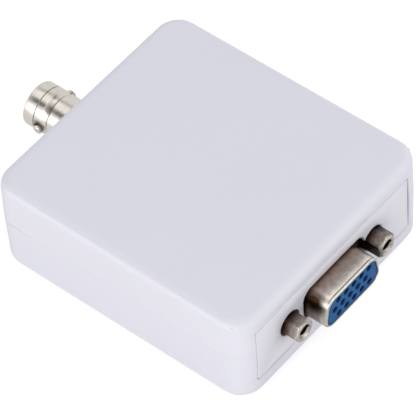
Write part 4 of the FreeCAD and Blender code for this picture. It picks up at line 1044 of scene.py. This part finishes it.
def copy_of(thing, move):
    """A copy with its own mesh, moved by millimetres."""
    twin = twin_of(thing, thing.name + "_copy")
    bpy.ops.transform.translate(value=metres(move))
    bpy.ops.object.transform_apply(location=True, rotation=True, scale=True)
    return twin


# %% [markdown]
# ## The D-shaped shell
# The metal shell of a VGA socket is pressed from one thin sheet. The D is drawn out of
# the flange, which leaves a round at its root, and its front edge rolls inwards. The
# piece starts as a plane, because a D is easily made by pulling two corners together and
# rounding all four. It then grows by extrusion, as the sheet does in the press.

# %% A D-shaped plane
SHELL_WIDTH = 16.3
SHELL_HEIGHT = 7.6
SHELL_CORNER = 2.6
SHELL_SLANT = 10.0
CORNER_STEPS = 10


def start_d_plane(name, inset, y):
    """A flat D across the socket's axis, with its wide side down, left in edit mode."""
    half_width = SHELL_WIDTH / 2 - inset
    half_height = SHELL_HEIGHT / 2 - inset
    corner = SHELL_CORNER - inset
    lean = math.radians(SHELL_SLANT)
    wide = half_width - corner + corner * math.tan(math.radians(45) + lean / 2)
    narrow = wide - 2 * half_height * math.tan(lean)
    centre = (VGA_X, y, VGA_Z)
    primitive("plane", centre, size=2 * MM, rotation=ALONG_Y)
    piece = settle(name)
    edit_all()
    stretch((wide, 1, half_height), centre)
    pick("verts", lambda vert: vert.co.z > VGA_Z * MM)
    stretch((narrow / wide, 1, 1), centre)
    for side, angle in ((-1, 90 - SHELL_SLANT), (1, 90 + SHELL_SLANT)):
        run = corner / math.tan(math.radians(angle / 2))
        level = (VGA_Z + side * half_height) * MM
        pick("verts", lambda vert: abs(vert.co.z - level) < SAME_LEVEL * MM)
        bpy.ops.mesh.bevel(offset=run * MM, offset_type="OFFSET", affect="VERTICES",
                           segments=CORNER_STEPS, profile=0.5)
    return piece


def d_prism(name, inset, front, back):
    """A solid D between two levels."""
    piece = start_d_plane(name, inset, front)
    pick("faces")
    push_faces(back - front)
    face_outwards()
    return piece


# %% Draw the tube and roll its front edge
SHEET = 0.5
LIP_ROUND = 0.46
ROOT_ROUND = 0.6
ROOT_STEPS = 5
FLANGE_SHEET = 0.6
FLANGE_FACE = FLANGE_BACK - FLANGE_SHEET


def on_outer_rim(edge):
    """True for the edges round the outside of the shell's front rim."""
    walls = [face for face in edge.link_faces if abs(face.normal.y) < 0.5]
    if not at_level(edge, SHELL_FRONT) or len(walls) != 1:
        return False
    middle = walls[0].calc_center_median()
    centre = Vector((VGA_X * MM, middle.y, VGA_Z * MM))
    return walls[0].normal.dot(middle - centre) > 0


root_level = FLANGE_FACE - ROOT_ROUND
shell = start_d_plane("vga_shell_drawn", 0, root_level)
pick("faces")
push_faces(SHELL_FRONT - root_level)
bpy.ops.mesh.inset(thickness=SHEET * MM, use_even_offset=True)
push_faces(FLANGE_BACK - SHELL_FRONT)
bpy.ops.mesh.delete(type="FACE")
pick("faces", lambda face: abs(face.calc_center_median().y - root_level * MM) < SAME_LEVEL * MM)
bpy.ops.mesh.delete(type="ONLY_FACE")
face_outwards()
print("edges round the rolled rim:", round_edges(on_outer_rim, LIP_ROUND, 6))

# %% [markdown]
# ### The round at the root
# Where the D leaves the flange, the sheet bends through a quarter circle. The tube's open
# back edge is extruded in short steps, each a little wider, and then goes straight through
# the flange's thickness. The last ring is joined to the inner wall.

# %% Flare the root
level, grow = root_level, 0.0
for step in range(1, ROOT_STEPS + 2):
    bend = math.pi / 2 * min(step, ROOT_STEPS) / ROOT_STEPS
    next_level = FLANGE_FACE - ROOT_ROUND * (1 - math.sin(bend))
    if step > ROOT_STEPS:
        next_level = FLANGE_BACK
    next_grow = ROOT_ROUND * (1 - math.cos(bend))
    pick("edges", lambda edge: edge.is_boundary and at_level(edge, level))
    wider = 1 + 2 * (next_grow - grow) / SHELL_WIDTH
    higher = 1 + 2 * (next_grow - grow) / SHELL_HEIGHT
    add_ring(next_level - level, wider, higher, (VGA_X, next_level, VGA_Z))
    level, grow = next_level, next_grow
close_up(hollow=True)
print("rings in the flared root:", ROOT_STEPS + 1)

# %% [markdown]
# ### The flange
# The flange is the rest of the sheet, with a hole for each standoff. It hides behind
# the end panel and shows only in the corners of the opening. It starts as a cube, since
# a plate with four rounded corners is a box with four bevelled edges. Cylinders cut the
# two holes and a D cuts the middle.

# %% Flange plate
FLANGE_WIDTH = 30.8
FLANGE_HEIGHT = 12.5
FLANGE_CORNER = 1.6
STANDOFF_PITCH = 24.99
STUD_HOLE = 1.67


def plate(name, width, height, front, back, corner):
    """A plate across the VGA axis with rounded corners, closed and in object mode."""
    piece = block_of(name, (width, back - front, height), (VGA_X, (front + back) / 2, VGA_Z))
    round_edges(runs_along_y, corner, 6)
    face_outwards()
    return piece


flange = plate("vga_flange", FLANGE_WIDTH, FLANGE_HEIGHT, FLANGE_FACE, FLANGE_BACK, FLANGE_CORNER)
for side in (-1, 1):
    hole = (VGA_X + side * STANDOFF_PITCH / 2, FLANGE_FACE + 0.5, VGA_Z)
    combine(flange, bar("hole_tool", 32, STUD_HOLE, 3, hole))
combine(flange, d_prism("d_tool", SHEET, FLANGE_FACE - 1, FLANGE_BACK + 1))
unite(shell, flange)
finish_piece(shell, "vga_front_shell")

# %% [markdown]
# ## The blue block
# The block is moulded in blue so that everyone knows the socket. It fills the shell and
# has fifteen holes in three rows of five, the middle row set off by half a pitch. Each
# hole has a wide mouth that guides the pin. One tool, a bar with a flared end, is made
# once and copied to every place before it cuts.

# %% Block with fifteen holes
PIN_PITCH = 2.29
ROW_PITCH = 1.98
HOLE_RADIUS = 0.6
MOUTH_RADIUS = 0.8
MOUTH_DEPTH = 0.34
BLOCK_RECESS = 0.14
BLOCK_EDGE = 0.14
BLOCK_WIDTH = 18.4
BLOCK_HEIGHT = 9.6
BLOCK_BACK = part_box("vga_insulator")[1].y / MM
block_front = SHELL_FRONT + BLOCK_RECESS
block = d_prism("vga_block_moulded", SHEET + 0.01, block_front, FLANGE_BACK + 0.1)
round_edges(lambda edge: at_level(edge, block_front), BLOCK_EDGE, 3)
face_outwards()
rear_block = plate("vga_block_rear", BLOCK_WIDTH, BLOCK_HEIGHT, FLANGE_BACK, BLOCK_BACK, 0.3)
combine(block, rear_block, "UNION")
hole_tool = lathe("pin_hole_tool", [
    (block_front - 0.3, MOUTH_RADIUS + 0.12), (block_front, MOUTH_RADIUS),
    (block_front + MOUTH_DEPTH, HOLE_RADIUS), (block_front + 5.0, HOLE_RADIUS)],
    VGA_X, VGA_Z, 20)
hole_tools = []
for row, shift in ((1, 1), (0, -1), (-1, 1)):
    for column in range(-2, 3):
        place = (PIN_PITCH * column + PIN_PITCH / 4 * shift, 0, ROW_PITCH * row)
        hole_tools.append(copy_of(hole_tool, place))
bpy.data.objects.remove(hole_tool)
combine(block, unite(*hole_tools))
finish_piece(block, "vga_insulator", smooth=30.0)

# %% [markdown]
# ## The hexagonal standoffs
# A plug's thumb screws go into these. Each is cut from hexagonal bar: the lathe faces
# it, which rounds off its six corners into curved facets, and a tap cuts the thread. A
# boolean with a turned blank gives the same curved facets. The thread is a small
# triangle carried round the axis by the Screw modifier.

# %% Standoff
HEX_FLATS = 4.6
HEX_REACH = 3.5
PANEL_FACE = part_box("vga_end_panel")[0].y / MM
HEX_FRONT = PANEL_FACE - HEX_REACH
THREAD_MAJOR = 1.42
THREAD_MINOR = 1.16
THREAD_PITCH = 0.635
THREAD_TURNS = 6
THREAD_START = 0.35
TAP_DEPTH = 4.4
HEX_EDGE = 0.1
STUD_END = FLANGE_FACE + 5.2


def thread_ridge(name, x, z, radius, start, turns, height):
    """A ridge that winds round an axis along Y; a negative height points inwards."""
    centre = (x, start, z)
    primitive("circle", centre, vertices=3, radius=abs(height) * MM)
    piece = bpy.context.object
    edit_all()
    bpy.ops.transform.rotate(value=math.copysign(math.pi / 2, height), orient_axis="Z",
                             center_override=metres(centre))
    bpy.ops.transform.translate(value=((radius + height * 0.45) * MM, 0, 0))
    bpy.ops.object.mode_set(mode="OBJECT")
    apply_modifier(piece, "SCREW", axis="Y", screw_offset=THREAD_PITCH * MM,
                   iterations=turns, steps=20, render_steps=20, use_merge_vertices=False)
    settle(name)
    close_up()
    return piece


def standoff(name, side, hex_turn):
    """One hexagonal standoff with its stud, its turned face and its tapped hole."""
    x = VGA_X + side * STANDOFF_PITCH / 2
    corner_reach = HEX_FLATS / 2 / math.cos(math.radians(30))
    length = FLANGE_FACE - HEX_FRONT
    piece = bar(name, 6, corner_reach, length, (x, HEX_FRONT + length / 2, VGA_Z),
                (math.pi / 2, math.radians(hex_turn), 0))
    round_edges(runs_along_y, HEX_EDGE, 2)
    face_outwards()
    blank = lathe("standoff_blank", [
        (HEX_FRONT, HEX_FLATS / 2 - 0.28), (HEX_FRONT + 0.05, HEX_FLATS / 2 - 0.14),
        (HEX_FRONT + 0.16, HEX_FLATS / 2 + 0.02), (HEX_FRONT + 0.6, corner_reach + 0.2),
        (FLANGE_FACE - 0.5, corner_reach + 0.2), (FLANGE_FACE - 0.1, HEX_FLATS / 2 + 0.04),
        (FLANGE_FACE, HEX_FLATS / 2 - 0.05)], x, VGA_Z, 64)
    combine(piece, blank, "INTERSECT")
    bore = lathe("standoff_bore", [
        (HEX_FRONT - 0.2, THREAD_MAJOR + 0.55), (HEX_FRONT, THREAD_MAJOR + 0.3),
        (HEX_FRONT + 0.3, THREAD_MAJOR), (HEX_FRONT + TAP_DEPTH, THREAD_MAJOR)], x, VGA_Z, 40)
    combine(piece, bore)
    stud = lathe("standoff_stud", [
        (FLANGE_FACE - 0.05, THREAD_MAJOR - 0.1), (STUD_END - 0.3, THREAD_MAJOR - 0.1),
        (STUD_END, THREAD_MAJOR - 0.4)], x, VGA_Z, 32)
    inner = thread_ridge("inner_thread", x, VGA_Z, THREAD_MAJOR, HEX_FRONT + THREAD_START,
                         THREAD_TURNS, THREAD_MINOR - THREAD_MAJOR)
    unite(piece, stud, inner)
    finish_piece(piece, "jackscrew_left" if side < 0 else "jackscrew_right", smooth=28.0)


standoff("standoff_left", -1, 30)
standoff("standoff_right", 1, 0)

# %% [markdown]
# ## The BNC barrel
# The barrel is turned from brass and plated with bright nickel. A front band carries a
# fine marking groove, a hollow neck lets the plug's lugs turn, and a rear barrel
# runs into the box. Two lugs catch the plug's bayonet slots. Ring after ring is extruded
# and resized, which is how a lathe profile is drawn in edit mode. The rings of the neck,
# the band and the mouth are given by how far they lie behind the front.

# %% Turned barrel
BARREL_RADIUS = 4.8
REAR_RADIUS = 4.7
BORE_RADIUS = 4.06
ROOT_RADIUS = 4.0
ROOT_BORE = 3.2
NECK_RADIUS = 4.3
HOUSING_FACE = 27.7
BARREL_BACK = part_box("bnc_barrel")[0].y / MM
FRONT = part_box("bnc_barrel")[1].y / MM
ROOT_RINGS = [(BARREL_BACK, ROOT_RADIUS), (HOUSING_FACE, ROOT_RADIUS),
              (HOUSING_FACE, REAR_RADIUS - 0.1), (HOUSING_FACE + 0.1, REAR_RADIUS)]
NECK_RINGS = [(6.06, REAR_RADIUS), (6.0, REAR_RADIUS - 0.03), (5.97, REAR_RADIUS - 0.1),
              (5.96, NECK_RADIUS), (5.78, NECK_RADIUS), (5.72, 4.42), (5.4, 4.46),
              (5.05, 4.53), (4.8, 4.61), (4.6, 4.69), (4.4, 4.76)]
BAND_RINGS = [(4.2, BARREL_RADIUS), (2.84, BARREL_RADIUS), (2.82, 4.78), (2.8, 4.64),
              (2.7, 4.64), (2.68, 4.78), (2.66, BARREL_RADIUS), (0.36, BARREL_RADIUS)]
MOUTH_RINGS = [(0.2, 4.76), (0.08, 4.66), (0.01, 4.52), (0.0, 4.42), (0.0, 4.3),
               (0.24, BORE_RADIUS), (8.6, BORE_RADIUS), (8.6, ROOT_BORE)]
BARREL_PROFILE = ROOT_RINGS + [
    (FRONT - setback, radius) for setback, radius in NECK_RINGS + BAND_RINGS + MOUTH_RINGS
] + [(BARREL_BACK, ROOT_BORE)]
barrel = lathe("bnc_barrel_turned", BARREL_PROFILE, BNC_X, BNC_Z, 128, hollow=True)
print("rings of the barrel:", len(BARREL_PROFILE))

# %% [markdown]
# ### The two lugs
# Each lug is the end of a pin that is pressed through the barrel's wall, with a shallow
# seat round it where the cutter cleared the metal. The seat is cut first and the pin,
# rounded at its tip, is then joined to the wall.

# %% The two lugs
LUG_SETBACK = 4.15
LUG_RADIUS = 1.0
LUG_ROOT = 4.2
LUG_TIP = 5.5
LUG_ROUND = 0.22
LUG_TURN = 5.0
SEAT_GAP = 0.22
SEAT_FLOOR = 4.62


def sideways_pin(name, side, radius, root):
    """A round pin across the barrel, from a distance off its axis out to the lug's tip."""
    middle = (BNC_X + side * (root + LUG_TIP) / 2, FRONT - LUG_SETBACK, BNC_Z)
    return bar(name, 40, radius, LUG_TIP - root, middle, (0, math.pi / 2, 0))


def turn_round_barrel():
    """Turn the active pin round the barrel's axis, to where the lugs sit."""
    edit_all()
    bpy.ops.transform.rotate(value=math.radians(LUG_TURN), orient_axis="Y",
                             center_override=metres((BNC_X, 0, BNC_Z)))
    face_outwards()


for side in (-1, 1):
    seat = sideways_pin("lug_seat", side, LUG_RADIUS + SEAT_GAP, SEAT_FLOOR)
    turn_round_barrel()
    combine(barrel, seat)
    pin = sideways_pin("lug", side, LUG_RADIUS, LUG_ROOT)
    tip = (BNC_X + side * LUG_TIP) * MM
    round_edges(lambda edge: all(abs(vert.co.x - tip) < SAME_LEVEL * MM for vert in edge.verts),
                LUG_ROUND, 4)
    bpy.ops.object.mode_set(mode="OBJECT")
    turn_round_barrel()
    combine(barrel, pin, "UNION")
finish_piece(barrel, "bnc_barrel", smooth=25.0)

# %% [markdown]
# ## The case screws
# Four screws go up from the underside into the posts. Their pan heads sit deep in round
# recesses. One screw is turned, gets its cross from two crossed wedges, is threaded, and
# is then copied to the other three posts.

# %% Screw
HEAD_RADIUS = 2.2
HEAD_HEIGHT = 1.6
SHANK_RADIUS = 1.05
SCREW_RIDGE = 0.15
CROSS = (2.3, 1.3, 0.55)
SCREW_LOW, SCREW_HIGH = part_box("case_screws")
HEAD_BASE = SCREW_LOW.z / MM
HEAD_TOP = HEAD_BASE + HEAD_HEIGHT
SHANK_END = SCREW_HIGH.z / MM
POST_X = SCREW_HIGH.x / MM - HEAD_RADIUS
POST_Y = SCREW_HIGH.y / MM - HEAD_RADIUS


def build_screw():
    """One screw on its own post axis, built along Y and then stood up along Z."""
    screw = lathe("case_screw", [
        (HEAD_BASE, 1.3), (HEAD_BASE + 0.08, 1.62), (HEAD_BASE + 0.26, 1.9),
        (HEAD_BASE + 0.55, 2.1), (HEAD_BASE + 0.95, HEAD_RADIUS),
        (HEAD_TOP - 0.06, HEAD_RADIUS), (HEAD_TOP, HEAD_RADIUS - 0.06),
        (HEAD_TOP, SHANK_RADIUS + 0.1), (HEAD_TOP + 0.1, SHANK_RADIUS),
        (SHANK_END - 0.8, SHANK_RADIUS), (SHANK_END, 0.35)], 0, 0, 48)
    for turn in (0, 90):
        wedge = block_of("cross_wedge", CROSS, (0, HEAD_BASE + 0.4, 0), turn)
        pick("verts", lambda vert: vert.co.y > HEAD_BASE * MM)
        stretch((0.5, 1, 0.5), (0, HEAD_BASE, 0))
        face_outwards()
        combine(screw, wedge)
    ridge = thread_ridge("screw_thread", 0, 0, SHANK_RADIUS, HEAD_TOP + 0.4,
                         int((SHANK_END - HEAD_TOP - 1.4) / THREAD_PITCH), SCREW_RIDGE)
    unite(screw, ridge)
    screw.rotation_euler = (math.pi / 2, 0, 0)
    bpy.ops.object.transform_apply(location=True, rotation=True, scale=True)
    return screw


first_screw = build_screw()
screws = [copy_of(first_screw, (POST_X * across, POST_Y * along, 0))
          for across in (-1, 1) for along in (-1, 1)]
bpy.data.objects.remove(first_screw)
screws = unite(*screws)
screws.name = "case_screws_turned"
finish_piece(screws, "case_screws", smooth=30.0)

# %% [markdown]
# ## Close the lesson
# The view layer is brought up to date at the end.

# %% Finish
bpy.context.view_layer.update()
